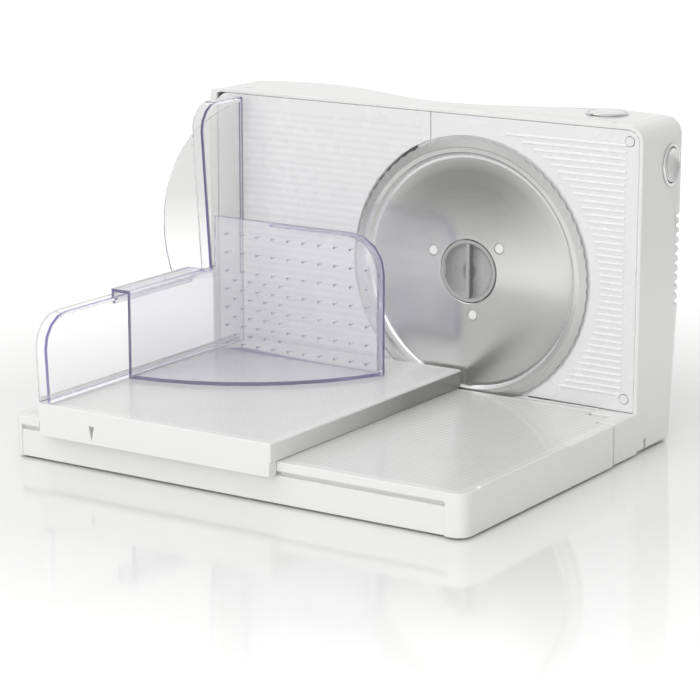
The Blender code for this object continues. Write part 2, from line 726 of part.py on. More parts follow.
def cut_seats(shell):
    """The holes that hold the axle, rods, spindle, screws and worm bearing."""
    cut(shell, cylinder("axle_socket", AXLE_RADIUS + GAP, (0, GEAR_BACK, BLADE_AXIS_HEIGHT),
                        AXLE_END + GAP - GEAR_BACK, "y", SMALL_SIDES))
    rod_start = ROD_START + SLEEVE_REACH - GAP
    for word, height in rod_heights():
        cut(shell, cylinder("rod_socket_" + word, ROD_RADIUS + GAP, (-DIAL_PLACE, rod_start, height),
                            ROD_END + GAP - rod_start, "y", SMALL_SIDES))
    back = back_depth(-DIAL_PLACE)
    cut(shell, cylinder("spindle_hole", SPINDLE_RADIUS + GAP,
                        (-DIAL_PLACE, back - OVERRUN, DIAL_HEIGHT), OVERRUN * 2, "y"))
    for index, height in enumerate(CAP_HEIGHTS):
        cut(shell, cylinder("screw_socket_" + str(index + 1), SCREW_RADIUS + GAP,
                            (CAP_PLACE, PANEL_THICKNESS, height), SCREW_LENGTH, "y", SMALL_SIDES))
    cut(shell, cylinder("bearing_seat", BEARING_RADIUS + GAP, (WORM_PLACE, WORM_DEPTH, BEARING_BOTTOM - GAP),
                        BEARING_HEIGHT + BEARING_ARM_WALL * 2 + GAP, "z", SMALL_SIDES))
    cut(shell, cylinder("shaft_way", SHAFT_RADIUS + BEARING_ARM_WALL,
                        (WORM_PLACE, WORM_DEPTH, BEARING_BOTTOM - OVERRUN), OVERRUN * 2, "z", SMALL_SIDES))


def rod_heights():
    """The two guide rods' names and heights."""
    return (("top", DIAL_HEIGHT + ROD_SPREAD), ("bottom", DIAL_HEIGHT - ROD_SPREAD))


def power_switch_corners():
    """The power switch's lowest and highest corners."""
    top = HOUSING_TOP - POWER_STEM_LENGTH - POWER_TRAVEL - GAP
    low = (POWER_PLACE[0] - SWITCH_SIZE[0] / 2, POWER_PLACE[1] - SWITCH_SIZE[1] / 2, top - SWITCH_SIZE[2])
    return low, (low[0] + SWITCH_SIZE[0], low[1] + SWITCH_SIZE[1], top)


def safety_switch_corners():
    """The safety switch's lowest and highest corners."""
    right = HOUSING_REACH_RIGHT + SAFETY_PROUD - SAFETY_THICKNESS - SAFETY_TRAVEL - GAP
    depth = SAFETY_DEPTH_PLACE - SWITCH_SIZE[1] / 2
    low = (right - SWITCH_SIZE[2], depth, SAFETY_HEIGHT - SWITCH_SIZE[0] / 2)
    return low, (right, low[1] + SWITCH_SIZE[1], low[2] + SWITCH_SIZE[0])


def chute_outline():
    """The chute's arch in the back wall."""
    corner = min(CHUTE_CORNER, (CHUTE_LEFT - CHUTE_RIGHT) / 2)
    outline = [(-CHUTE_LEFT, CHUTE_BOTTOM), (-CHUTE_RIGHT, CHUTE_BOTTOM)]
    outline += arc((-CHUTE_RIGHT - corner, CHUTE_TOP - corner), corner, 0, 90, CORNER_STEPS)
    outline += arc((-CHUTE_LEFT + corner, CHUTE_TOP - corner), corner, 90, 180, CORNER_STEPS)
    return outline


def cut_chute(shell):
    """Opens the back wall where the slices fall out."""
    back = HOUSING_DEPTH + WAVE_HEIGHT + OVERRUN
    cut(shell, slab("chute_cutter", chute_outline(), OVERRUN * 2, back, "y"))


def cut_vents(shell):
    """Louvre slots round the right rear corner, the side notch and the cord inlet's hole."""
    slots = []
    right = HOUSING_REACH_RIGHT + OVERRUN
    deep = back_depth(HOUSING_REACH_RIGHT - CORNER_RADIUS)
    for index in range(VENT_COUNT):
        bottom = VENT_BOTTOM + VENT_PITCH * index
        low = (right - OVERRUN - VENT_REACH, deep - VENT_REACH, bottom)
        slots.append(box("vent", low, (right, deep + OVERRUN, bottom + VENT_HEIGHT)))
    cut(shell, joined("vent_cutters", slots))
    low = (HOUSING_REACH_RIGHT - OVERRUN, NOTCH_PLACE - NOTCH_WIDTH / 2, -OVERRUN)
    cut(shell, box("notch_cutter", low, (right, NOTCH_PLACE + NOTCH_WIDTH / 2, NOTCH_HEIGHT)))
    deep = back_depth(INLET_PLACE)
    cut(shell, cylinder("inlet_hole", INLET_RADIUS + GAP, (INLET_PLACE, deep / 2, INLET_HEIGHT),
                        deep, "y", SMALL_SIDES))


def cut_button_holes(shell):
    """The two buttons' oval holes."""
    grow = GAP * 2
    halves = (POWER_HALF_SIZES[0] + grow, POWER_HALF_SIZES[1] + grow)
    cut(shell, slab("power_hole", oval(POWER_PLACE, halves), HOUSING_TOP - OVERRUN, HOUSING_TOP + OVERRUN))
    halves = (SAFETY_HALF_SIZES[0] + grow, SAFETY_HALF_SIZES[1] + grow)
    place = (SAFETY_DEPTH_PLACE, SAFETY_HEIGHT)
    cut(shell, slab("safety_hole", oval(place, halves), HOUSING_REACH_RIGHT - OVERRUN,
                    HOUSING_REACH_RIGHT + OVERRUN, "x"))


def round_disc(name, radius, start, end):
    """A disc about the blade's axis."""
    return cylinder(name, radius, (0, start, BLADE_AXIS_HEIGHT), end - start, "y", BLADE_STEPS)


def make_fixed_panel(body):
    """The right front panel, with its blade recess, raised ribs and two screw holes."""
    corner = TOP_ROUND - HOUSING_WALL
    left = -SEAM_PLACE + GAP
    outline = [(left, PANEL_BOTTOM), (PANEL_RIGHT, PANEL_BOTTOM)]
    outline += arc((PANEL_RIGHT - corner, PANEL_TOP - corner), corner, 0, 90, CORNER_STEPS)
    outline.append((left, PANEL_TOP))
    back = RECESS_DEPTH + RECESS_FLOOR
    panel = slab("fixed_panel", outline, 0, PANEL_THICKNESS, "y")
    wall = round_disc("recess_wall", RECESS_RADIUS + RECESS_WALL, 0, back)
    trim = slab("recess_trim", outline, -OVERRUN, back + OVERRUN, "y")
    combine(wall, trim, "INTERSECT")
    add(panel, baked_piece(wall))
    cut(panel, round_disc("recess_cutter", RECESS_RADIUS, -OVERRUN, RECESS_DEPTH))
    floor = round_disc("recess_floor", RECESS_RADIUS - FLOOR_EDGE_CLEARANCE, RECESS_DEPTH, back)
    floor_left = -BAFFLE_PLACE + BAFFLE_THICKNESS / 2 + GAP
    low = (floor_left, 0, PANEL_BOTTOM)
    combine(floor, box("floor_trim", low, (RECESS_RADIUS, back + OVERRUN, PANEL_TOP)), "INTERSECT")
    add(panel, baked_piece(floor))
    cut(panel, round_disc("flange_hole", FLANGE_RADIUS + FLANGE_HOLE_CLEARANCE, 0, back + OVERRUN))
    heights = [RIB_TOP_HEIGHT - RIB_PITCH * index for index in range(RIB_COUNT)]
    ribs = [panel_rib(height) for height in heights if rib_left(height) < RIB_RIGHT_END - RIB_WIDTH]
    add(panel, joined("panel_ribs", ribs))
    for index, height in enumerate(CAP_HEIGHTS):
        word = str(index + 1)
        deep = CAP_THICKNESS + SCREW_HEAD_THICKNESS - CAP_PROUD + GAP
        cut(panel, cylinder("cap_hole_" + word, CAP_RADIUS + GAP, (CAP_PLACE, -OVERRUN, height),
                            OVERRUN + deep, "y", SMALL_SIDES))
        cut(panel, cylinder("screw_hole_" + word, SCREW_RADIUS + GAP, (CAP_PLACE, 0, height),
                            OVERRUN, "y", SMALL_SIDES))
    return finish(panel, "panel_plastic", body)


def baked_piece(item):
    """Applies a piece's modifiers, so that it can be an operand itself."""
    guides = [modifier.object for modifier in item.modifiers]
    made = baked(item)
    for guide in guides:
        bpy.data.objects.remove(guide, do_unlink=True)
    return made


def rib_left(height):
    """A rib's left end, on a circle round the blade."""
    rise = height - BLADE_AXIS_HEIGHT
    return math.sqrt(max(0, RIB_CIRCLE_RADIUS ** 2 - rise ** 2))


def panel_rib(height):
    """One raised rib, from the circle round the blade to the panel's right edge."""
    low = (rib_left(height), -RIB_PROUD, height - RIB_WIDTH / 2)
    return box("rib", low, (RIB_RIGHT_END, PANEL_THICKNESS / 2, height + RIB_WIDTH / 2))


def make_panel_screws(body):
    """The panel's two screws and the caps over them."""
    for word, height in zip(("bottom", "top"), CAP_HEIGHTS):
        cap = cylinder("screw_cap_" + word, CAP_RADIUS, (CAP_PLACE, -CAP_PROUD, height),
                       CAP_THICKNESS, "y", SMALL_SIDES)
        finish(cap, "panel_plastic", body)
        head_front = CAP_THICKNESS - CAP_PROUD + GAP / 2
        head_back = head_front + SCREW_HEAD_THICKNESS
        end = head_back + SCREW_LENGTH - PANEL_THICKNESS
        profile = [(0, end), (SCREW_RADIUS, end), (SCREW_RADIUS, head_back),
                   (CAP_RADIUS, head_back), (CAP_RADIUS, head_front), (0, head_front)]
        screw = turned("panel_screw_" + word, profile, (CAP_PLACE, 0, height), "y", SMALL_SIDES)
        finish(screw, "plain_steel", body)


def make_motor(body):
    """The motor, its cradle, the worm's bearing, the axle and the hinge pins."""
    bore = SHAFT_RADIUS + GAP
    nose_top = MOTOR_TOP + MOTOR_NOSE_LENGTH
    profile = [(bore, nose_top), (MOTOR_NOSE_RADIUS, nose_top), (MOTOR_NOSE_RADIUS, MOTOR_TOP),
               (MOTOR_RADIUS, MOTOR_TOP), (MOTOR_RADIUS, MOTOR_BOTTOM), (bore, MOTOR_BOTTOM)]
    motor = turned("motor", profile, (WORM_PLACE, WORM_DEPTH, 0), "z", closed=True)
    finish(motor, "plain_steel", body)
    top = MOTOR_BOTTOM - GAP
    cradle = cylinder("motor_cradle", CRADLE_RADIUS, (WORM_PLACE, WORM_DEPTH, CRADLE_BOTTOM),
                      top - CRADLE_BOTTOM)
    inner = CRADLE_RADIUS - CRADLE_WALL
    cut(cradle, cylinder("cradle_hollow", inner, (WORM_PLACE, WORM_DEPTH, 0), top - CRADLE_WALL))
    cut(cradle, cylinder("cradle_hole", SHAFT_RADIUS + CRADLE_WALL, (WORM_PLACE, WORM_DEPTH, 0),
                         MOTOR_TOP, "z", SMALL_SIDES))
    cut(cradle, box("cradle_window", (WORM_PLACE, WORM_DEPTH - inner / 2, FAN_BOTTOM),
                    (WORM_PLACE + CRADLE_RADIUS, WORM_DEPTH + inner / 2, FAN_BOTTOM + FAN_HEIGHT)))
    finish(cradle, "black_plastic", body)
    profile = [(bore, BEARING_HEIGHT), (BEARING_RADIUS, BEARING_HEIGHT), (BEARING_RADIUS, 0), (bore, 0)]
    bearing = turned("worm_bearing", profile, (WORM_PLACE, WORM_DEPTH, BEARING_BOTTOM), "z",
                     SMALL_SIDES, closed=True)
    finish(bearing, "brass", body)
    start = FLANGE_FRONT + FLANGE_RECESS_DEPTH + GAP * 2
    axle = cylinder("blade_axle", AXLE_RADIUS, (0, start, BLADE_AXIS_HEIGHT), AXLE_END - start, "y")
    finish(axle, "plain_steel", body)
    make_hinge_pins(body)


def make_hinge_pins(body):
    """The base turns on two short pins held in the ears."""
    length = EAR_BLOCK_WIDTH - EAR_WIDTH + PIN_BITE - GAP * 2
    right_start = HOUSING_REACH_RIGHT - EAR_BLOCK_WIDTH
    left_start = -HOUSING_REACH_LEFT + EAR_BLOCK_WIDTH - length
    for word, start in (("right", right_start), ("left", left_start)):
        pin = cylinder("hinge_pin_" + word, HINGE_PIN_RADIUS, (start, -HINGE_PLACE, HINGE_HEIGHT),
                       length, "x", SMALL_SIDES)
        finish(pin, "plain_steel", body)


def make_guide_rods(body):
    """The two rods that the gauge plate's carrier slides on."""
    for word, height in rod_heights():
        rod = cylinder("guide_rod_" + word, ROD_RADIUS, (-DIAL_PLACE, ROD_START, height),
                       ROD_END - ROD_START, "y", SMALL_SIDES)
        finish(rod, "plain_steel", body)


def make_switches(body):
    """The two switches, the power button's return spring and both chrome rings."""
    finish(box("power_switch", *power_switch_corners()), "black_plastic", body)
    finish(box("safety_switch", *safety_switch_corners()), "black_plastic", body)
    finish(make_spring(), "plain_steel", body)
    inner = (POWER_HALF_SIZES[0] + GAP, POWER_HALF_SIZES[1] + GAP)
    outer = (inner[0] + RING_WIDTH, inner[1] + RING_WIDTH)
    start = HOUSING_TOP + GAP
    ring = slab("power_ring", oval(POWER_PLACE, outer), start, start + RING_HEIGHT)
    cut(ring, slab("power_ring_hole", oval(POWER_PLACE, inner), start - OVERRUN, start + OVERRUN))
    finish(ring, "chrome", body)
    place = (SAFETY_DEPTH_PLACE, SAFETY_HEIGHT)
    inner = (SAFETY_HALF_SIZES[0] + GAP, SAFETY_HALF_SIZES[1] + GAP)
    outer = (inner[0] + RING_WIDTH, inner[1] + RING_WIDTH)
    start = HOUSING_REACH_RIGHT + GAP
    ring = slab("safety_ring", oval(place, outer), start, start + RING_HEIGHT, "x")
    cut(ring, slab("safety_ring_hole", oval(place, inner), start - OVERRUN, start + OVERRUN, "x"))
    finish(ring, "chrome", body)


def make_spring():
    """The coil between the power switch and the button."""
    bottom = power_switch_corners()[1][2] + SPRING_WIRE_RADIUS + GAP
    top = HOUSING_TOP + POWER_PROUD - POWER_THICKNESS - SPRING_WIRE_RADIUS - GAP
    count = SPRING_TURNS * SPRING_TURN_POINTS
    curve = bpy.data.curves.new("power_spring", "CURVE")
    curve.dimensions = "3D"
    curve.bevel_depth = SPRING_WIRE_RADIUS
    curve.bevel_resolution = 1
    curve.use_fill_caps = True
    spline = curve.splines.new("POLY")
    spline.points.add(count)
    for index, point in enumerate(spline.points):
        angle = math.tau * index / SPRING_TURN_POINTS
        height = bottom + (top - bottom) * index / count
        point.co = (SPRING_RADIUS * math.cos(angle), SPRING_RADIUS * math.sin(angle), height, 1)
    item = new_object("power_spring", curve, PARTS)
    item.location = (POWER_PLACE[0], POWER_PLACE[1], 0)
    return baked(item)


def make_cord_inlet(body):
    """The gland in the back wall where the mains cord belongs; the cord is left out."""
    rise = (INLET_HEIGHT - HOUSING_BOTTOM) / TAPER_HEIGHT
    outside = back_depth(INLET_PLACE) * (1 - TAPER_SHARE * (1 - rise))
    socket = INLET_LENGTH - INLET_SOCKET_DEPTH
    profile = [(0, socket), (INLET_SOCKET_RADIUS, socket), (INLET_SOCKET_RADIUS, INLET_LENGTH),
               (INLET_RADIUS, INLET_LENGTH), (INLET_RADIUS, 0), (0, 0)]
    place = (INLET_PLACE, outside - INLET_LENGTH / 2 - HOUSING_WALL / 2, INLET_HEIGHT)
    inlet = turned("cord_inlet", profile, place, "y", SMALL_SIDES)
    finish(inlet, "rubber", body)


def make_foot(name, corner, top, body):
    """One square rubber foot, given by its lower left corner."""
    low = (corner[0], corner[1], 0)
    foot = box(name, low, (corner[0] + FOOT_SIZE, corner[1] + FOOT_SIZE, top - GAP))
    finish(foot, "rubber", body)


def make_housing_feet(body):
    """Feet under the ears and under the housing's back."""
    back = (back_depth(WAVE_CREST) - CORNER_RADIUS) * (1 - TAPER_SHARE) - FOOT_SIZE / 2
    front = -EAR_FRONT + EAR_FOOT_INSET
    right = WAVE_CREST - FOOT_SIZE / 2
    make_ear_foot("foot_ear_right", HOUSING_REACH_RIGHT - EAR_WIDTH, front, body)
    make_ear_foot("foot_ear_left", -HOUSING_REACH_LEFT, front, body)
    make_foot("foot_back_right", (right, back), HOUSING_BOTTOM, body)
    make_foot("foot_back_left", (right - WAVE_LENGTH, back), HOUSING_BOTTOM, body)


def make_ear_foot(name, left, front, body):
    """A narrower foot that fits under an ear's finger."""
    low = (left + EAR_FOOT_INSET, front, 0)
    high = (left + EAR_WIDTH - EAR_FOOT_INSET, front + FOOT_SIZE, HOUSING_BOTTOM - GAP)
    foot = box(name, low, high)
    finish(foot, "rubber", body)


def make_gauge(body):
    """The gauge plate at the left, cut round the blade, and the carrier behind it."""
    corner = TOP_ROUND - HOUSING_WALL
    right = -SEAM_PLACE - GAP
    outline = [(GAUGE_LEFT, PANEL_BOTTOM), (right, PANEL_BOTTOM), (right, PANEL_TOP)]
    outline += arc((GAUGE_LEFT + corner, PANEL_TOP - corner), corner, 90, 180, CORNER_STEPS)
    plate = slab("gauge_plate", outline, 0, PANEL_THICKNESS, "y")
    cut(plate, round_disc("gauge_cutter", RECESS_RADIUS + GAP, -OVERRUN, OVERRUN))
    finish(plate, "panel_plastic", body)
    front = PANEL_THICKNESS + GAP
    back = CARRIER_BACK
    carrier = box("gauge_carrier", (-DIAL_PLACE - CARRIER_WIDTH / 2, front, CARRIER_BOTTOM),
                  (-DIAL_PLACE + CARRIER_WIDTH / 2, back, CARRIER_TOP))
    sleeves = [(word, ROD_RADIUS, height) for word, height in rod_heights()]
    sleeves.append(("spindle", SPINDLE_RADIUS, DIAL_HEIGHT))
    for word, radius, height in sleeves:
        place = (-DIAL_PLACE, back - CARRIER_THICKNESS / 2, height)
        add(carrier, cylinder("sleeve_" + word, radius + GAP + SLEEVE_WALL, place,
                              SLEEVE_REACH + CARRIER_THICKNESS / 2, "y", SMALL_SIDES))
        cut(carrier, cylinder("bore_" + word, radius + GAP, (-DIAL_PLACE, back, height),
                              SLEEVE_REACH + OVERRUN, "y", SMALL_SIDES))
    finish(carrier, "gear_plastic", body)


def make_dial(body):
    """The thickness dial on the back and the spindle that carries it."""
    outside = back_depth(-DIAL_PLACE)
    wall_inner = back_depth(-DIAL_PLACE - SPINDLE_COLLAR_RADIUS) - HOUSING_WALL
    collar_back = wall_inner - GAP * 3
    collar_front = collar_back - SPINDLE_COLLAR_LENGTH
    end = outside + GAP + DIAL_LENGTH / 2
    profile = [(0, end), (SPINDLE_RADIUS, end), (SPINDLE_RADIUS, collar_back),
               (SPINDLE_COLLAR_RADIUS, collar_back), (SPINDLE_COLLAR_RADIUS, collar_front),
               (SPINDLE_RADIUS, collar_front), (SPINDLE_RADIUS, ROD_START), (0, ROD_START)]
    spindle = turned("dial_spindle", profile, (-DIAL_PLACE, 0, DIAL_HEIGHT), "y", SMALL_SIDES)
    finish(spindle, "gear_plastic", body)
    front = outside + GAP
    dial = cylinder("thickness_dial", DIAL_RADIUS, (-DIAL_PLACE, front, DIAL_HEIGHT), DIAL_LENGTH, "y")
    half = (DIAL_GRIP_WIDTH / 2, DIAL_GRIP_LENGTH / 2)
    grip = box("dial_grip", (-DIAL_PLACE - half[0], front + DIAL_LENGTH / 2, DIAL_HEIGHT - half[1]),
               (-DIAL_PLACE + half[0], front + DIAL_LENGTH + DIAL_GRIP_HEIGHT, DIAL_HEIGHT + half[1]))
    add(dial, grip)
    cut(dial, cylinder("dial_socket", SPINDLE_RADIUS + GAP, (-DIAL_PLACE, front - OVERRUN, DIAL_HEIGHT),
                       OVERRUN + DIAL_LENGTH / 2 + GAP, "y", SMALL_SIDES))
    finish(dial, "white_plastic", body)


def make_blade(body):
    """The dished blade with its ground bevel and three pin holes."""
    front = -BLADE_PROUD
    back = front + BLADE_THICKNESS
    bevel = BLADE_RADIUS - BLADE_BEVEL_WIDTH
    step = bevel - BLADE_STEP_WIDTH
    profile = [
        (BLADE_BORE_RADIUS, BLADE_CENTRE_BACK),
        (BLADE_CENTRE_RADIUS, BLADE_CENTRE_BACK),
        (step, back + GAP),
        (bevel, back),
        (BLADE_RADIUS, back),
        (BLADE_RADIUS, front + BLADE_BEVEL_DROP),
        (bevel, front),
        (step, front + GAP),
        (BLADE_CENTRE_RADIUS, BLADE_CENTRE_FRONT),
        (BLADE_BORE_RADIUS, BLADE_CENTRE_FRONT),
    ]
    blade = turned("blade", profile, (0, 0, BLADE_AXIS_HEIGHT), "y", BLADE_STEPS, closed=True)
    holes = [drive_pin("hole", index, PIN_RADIUS + GAP) for index in range(PIN_COUNT)]
    cut(blade, joined("pin_holes", holes))
    finish(blade, "blade_steel", body)


def drive_pin(name, index, radius):
    """One of the pins round the blade's middle, or its hole."""
    angle = PIN_FIRST_ANGLE + math.tau * index / PIN_COUNT
    x = PIN_CIRCLE_RADIUS * math.cos(angle)
    z = BLADE_AXIS_HEIGHT + PIN_CIRCLE_RADIUS * math.sin(angle)
    start = BLADE_CENTRE_FRONT - PIN_PROUD
    length = FLANGE_FRONT + FLANGE_THICKNESS / 2 - start
    return cylinder(name, radius, (x, start, z), length, "y", SMALL_SIDES)


def make_gear(body):
    """The drive gear: a flange with three pins, a hub and a toothed rim."""
    flange_back = FLANGE_FRONT + FLANGE_THICKNESS
    recess_back = FLANGE_FRONT + FLANGE_RECESS_DEPTH
    rim_front = GEAR_BACK - GEAR_WIDTH
    bore = AXLE_RADIUS + GAP
    profile = [
        (bore, GEAR_BACK),
        (GEAR_RADIUS, GEAR_BACK),
        (GEAR_RADIUS, rim_front),
        (HUB_RADIUS, rim_front),
        (HUB_RADIUS, flange_back),
        (FLANGE_RADIUS, flange_back),
        (FLANGE_RADIUS, FLANGE_FRONT),
        (FLANGE_RECESS_RADIUS, FLANGE_FRONT),
        (FLANGE_RECESS_RADIUS, recess_back),
        (bore, recess_back),
    ]
    gear = turned("drive_gear", profile, (0, 0, BLADE_AXIS_HEIGHT), "y", TOOTH_COUNT * 2, closed=True)
    add(gear, joined("drive_pins", [drive_pin("pin", index, PIN_RADIUS) for index in range(PIN_COUNT)]))
    cut(gear, joined("tooth_gaps", [tooth_gap(index) for index in range(TOOTH_COUNT)]))
    finish(gear, "gear_plastic", body)


def tooth_gap(index):
    """The space between two teeth."""
    angle = math.tau * (index + 0.5) / TOOTH_COUNT
    width = math.pi * GEAR_RADIUS / TOOTH_COUNT
    low = (GEAR_RADIUS - TOOTH_DEPTH, GEAR_BACK - GEAR_WIDTH - OVERRUN, -width / 2)
    gap = box("gap", low, (GEAR_RADIUS + OVERRUN, GEAR_BACK + OVERRUN, width / 2))
    gap.data.transform(Matrix.Translation(gap.location))
    gap.data.transform(Matrix.Rotation(angle, 4, "Y"))
    gap.location = (0, 0, BLADE_AXIS_HEIGHT)
    return gap


def make_knob(body):
    """The grey lock knob: a rim round two scooped recesses, a fin between them, and the shank."""
    back = BLADE_CENTRE_FRONT - GAP
    rim = back - KNOB_THICKNESS + KNOB_DOME
    face = back - KNOB_THICKNESS
    shank = back + KNOB_SHANK_LENGTH
    profile = [(0, shank), (KNOB_SHANK_RADIUS, shank), (KNOB_SHANK_RADIUS, back), (KNOB_RADIUS, back),
               (KNOB_RADIUS, rim), (KNOB_RADIUS - KNOB_DOME, face), (0, face)]
    knob = turned("blade_lock_knob", profile, (0, 0, BLADE_AXIS_HEIGHT), "y")
    floor = face + KNOB_SCOOP_DEPTH
    front = face - KNOB_SCOOP_DEPTH
    inner = KNOB_RADIUS - KNOB_RIM_WIDTH
    cut(knob, cylinder("knob_scoop", inner + KNOB_SCOOP_SLOPE, (0, front, BLADE_AXIS_HEIGHT),
                       floor - front, "y", ROUND_SIDES, inner - KNOB_SCOOP_SLOPE))
    fin = box("knob_fin", (-FIN_WIDTH / 2, face - FIN_PROUD, BLADE_AXIS_HEIGHT - FIN_LENGTH / 2),
              (FIN_WIDTH / 2, (floor + back) / 2, BLADE_AXIS_HEIGHT + FIN_LENGTH / 2))
    bevel_edges(fin, FIN_EDGE)
    add(knob, baked(fin))
    finish(knob, "grey_plastic", body)


def bevel_edges(item, width, segments=2):
    """Rounds a piece's sharp edges."""
    bevel = item.modifiers.new("edge", "BEVEL")
    bevel.width = width
    bevel.segments = segments
    bevel.limit_method = "ANGLE"
    return item


def make_rotor(body):
    """The motor's shaft with its worm, and the fan under the motor."""
    shaft = cylinder("worm_shaft", SHAFT_RADIUS, (WORM_PLACE, WORM_DEPTH, SHAFT_BOTTOM),
                     SHAFT_TOP - SHAFT_BOTTOM, "z", SMALL_SIDES)
    worm_profile = [(0, WORM_LENGTH), (WORM_CORE_RADIUS, WORM_LENGTH)]
    ridges = int(WORM_LENGTH / WORM_THREAD_PITCH)
    for index in range(ridges):
        top = WORM_LENGTH - WORM_THREAD_PITCH * (index + 0.25)
        worm_profile += [(WORM_CORE_RADIUS, top), (WORM_RADIUS, top - WORM_THREAD_PITCH / 4),
                         (WORM_RADIUS, top - WORM_THREAD_PITCH / 3),
                         (WORM_CORE_RADIUS, top - WORM_THREAD_PITCH / 2)]
    worm_profile += [(WORM_CORE_RADIUS, 0), (0, 0)]
    worm = turned("worm", worm_profile, (WORM_PLACE, WORM_DEPTH, WORM_BOTTOM), "z", SMALL_SIDES)
    add(shaft, worm)
    finish(shaft, "plain_steel", body)
    fan = cylinder("motor_fan", FAN_HUB_RADIUS, (WORM_PLACE, WORM_DEPTH, FAN_BOTTOM), FAN_HEIGHT, "z",
                   SMALL_SIDES)
    for index in range(FAN_CROSS_VANES):
        angle = math.radians(180) * index / FAN_CROSS_VANES
        half = FAN_BLADE_THICKNESS / 2
        vane = box("fan_vane_" + str(index), (-FAN_RADIUS, -half, FAN_BOTTOM + GAP),
                   (FAN_RADIUS, half, FAN_BOTTOM + FAN_HEIGHT - GAP))
        vane.data.transform(Matrix.Rotation(angle, 4, "Z"))
        vane.location = vane.location + Vector((WORM_PLACE, WORM_DEPTH, 0))
        add(fan, vane)
    cut(fan, cylinder("fan_bore", SHAFT_RADIUS + GAP, (WORM_PLACE, WORM_DEPTH, 0), MOTOR_BOTTOM, "z",
                      SMALL_SIDES))
    finish(fan, "black_plastic", body)


def base_outline():
    """The base's plan outline, with rounded front corners and notches for the ears."""
    radius = BASE_CORNER_RADIUS
    right, left = BASE_REACH_RIGHT, -HOUSING_REACH_LEFT
    notch = -EAR_FRONT - EAR_GAP
    ear_right = HOUSING_REACH_RIGHT - EAR_WIDTH - GAP
    ear_left = left + EAR_WIDTH + GAP
    block_right = HOUSING_REACH_RIGHT - EAR_BLOCK_WIDTH - GAP
    block_left = left + EAR_BLOCK_WIDTH + GAP
    outline = arc((left + radius, -BASE_FRONT + radius), radius, 180, 270, CORNER_STEPS)
    outline += arc((right - radius, -BASE_FRONT + radius), radius, 270, 360, CORNER_STEPS)
    outline += [(right, notch), (ear_right, notch), (ear_right, -HINGE_PLACE),
                (block_right, -HINGE_PLACE), (block_right, -BASE_REAR), (block_left, -BASE_REAR),
                (block_left, -HINGE_PLACE), (ear_left, -HINGE_PLACE), (ear_left, notch), (left, notch)]
    return outline


def make_base(body):
    """The base: a hollow plate with a front rail, a raised rim and two hinge barrels."""
    base = slab("base_plate", base_outline(), BASE_BOTTOM, BASE_TOP)
    left, right = -HOUSING_REACH_LEFT, BASE_REACH_RIGHT
    skin_bottom = BASE_TOP - BASE_SKIN
    rear = -EAR_FRONT - EAR_GAP - BASE_SIDE_WALL
    front = -BASE_FRONT + BASE_FRONT_WALL
    block = BASE_CORNER_BLOCK
    long_low = (left + block, front, -OVERRUN)
    cut(base, box("base_hollow_long", long_low, (right - block, rear, skin_bottom)))
    wide_low = (left + BASE_SIDE_WALL, front + block, -OVERRUN)
    cut(base, box("base_hollow_wide", wide_low, (right - BASE_SIDE_WALL, rear - block, skin_bottom)))
    inner_left = left + EAR_BLOCK_WIDTH + GAP
    inner_right = HOUSING_REACH_RIGHT - EAR_BLOCK_WIDTH - GAP
    wall = BASE_SIDE_WALL
    cut(base, box("base_hollow_rear", (inner_left + wall, rear + wall, -OVERRUN),
                  (inner_right - wall, -BASE_REAR - wall, skin_bottom)))
    for word, outer in (("right", inner_right), ("left", inner_left)):
        add_barrel(base, word, outer)
    cut(base, box("rear_relief", (inner_left - OVERRUN * 4, -HINGE_PLACE - HINGE_DROP, -OVERRUN),
                  (inner_right + OVERRUN * 4, OVERRUN, BASE_REAR_BOTTOM)))
    cut_rail(base)
    add(base, box("base_rim", (right - RIM_WIDTH, -RIM_FRONT, BASE_TOP - RIM_HEIGHT),
                  (right, -RIM_REAR, BASE_TOP + RIM_HEIGHT)))
    finish(base, "white_plastic", body)


def add_barrel(base, word, inner):
    """One hinge barrel beside an ear, and its pin's hole."""
    bite = BASE_SIDE_WALL / 2
    length = EAR_BLOCK_WIDTH - EAR_WIDTH + bite
    start = inner - bite if word == "right" else inner + bite - length
    place = (start, -HINGE_PLACE, HINGE_HEIGHT)
    add(base, cylinder("barrel_" + word, HINGE_DROP - GAP, place, length, "x", ROUND_SIDES))
    hole_start = (start - OVERRUN, -HINGE_PLACE, HINGE_HEIGHT)
    cut(base, cylinder("barrel_hole_" + word, HINGE_PIN_RADIUS + GAP, hole_start,
                       length + OVERRUN * 2, "x", SMALL_SIDES))


def cut_rail(base):
    """The front face under the lip, set back between the corner posts, with the runner's groove."""
    left = -HOUSING_REACH_LEFT + LEFT_POST_WIDTH
    right = BASE_REACH_RIGHT - RIGHT_POST_WIDTH
    face = -BASE_FRONT + LIP_OVERHANG
    cut(base, box("face_cutter", (left, -BASE_FRONT - OVERRUN, -OVERRUN), (right, face, RAIL_TOP)))
    cut(base, box("rail_cutter", (left, -BASE_FRONT - OVERRUN, RAIL_TOP - RAIL_HEIGHT),
                  (right, face + RAIL_DEPTH, RAIL_TOP)))


def make_base_feet(body):
    """Feet under the base's four corners."""
    edge = FOOT_SIZE + FOOT_INSET
    front = -BASE_FRONT + FOOT_INSET
    rear = -EAR_FRONT - EAR_GAP - edge
    left = -HOUSING_REACH_LEFT + FOOT_INSET
    right = BASE_REACH_RIGHT - edge
    make_foot("foot_front_right", (right, front), BASE_BOTTOM, body)
    make_foot("foot_front_left", (left, front), BASE_BOTTOM, body)
    make_foot("foot_rear_right", (right, rear), BASE_BOTTOM, body)
    make_foot("foot_rear_left", (left, rear), BASE_BOTTOM, body)


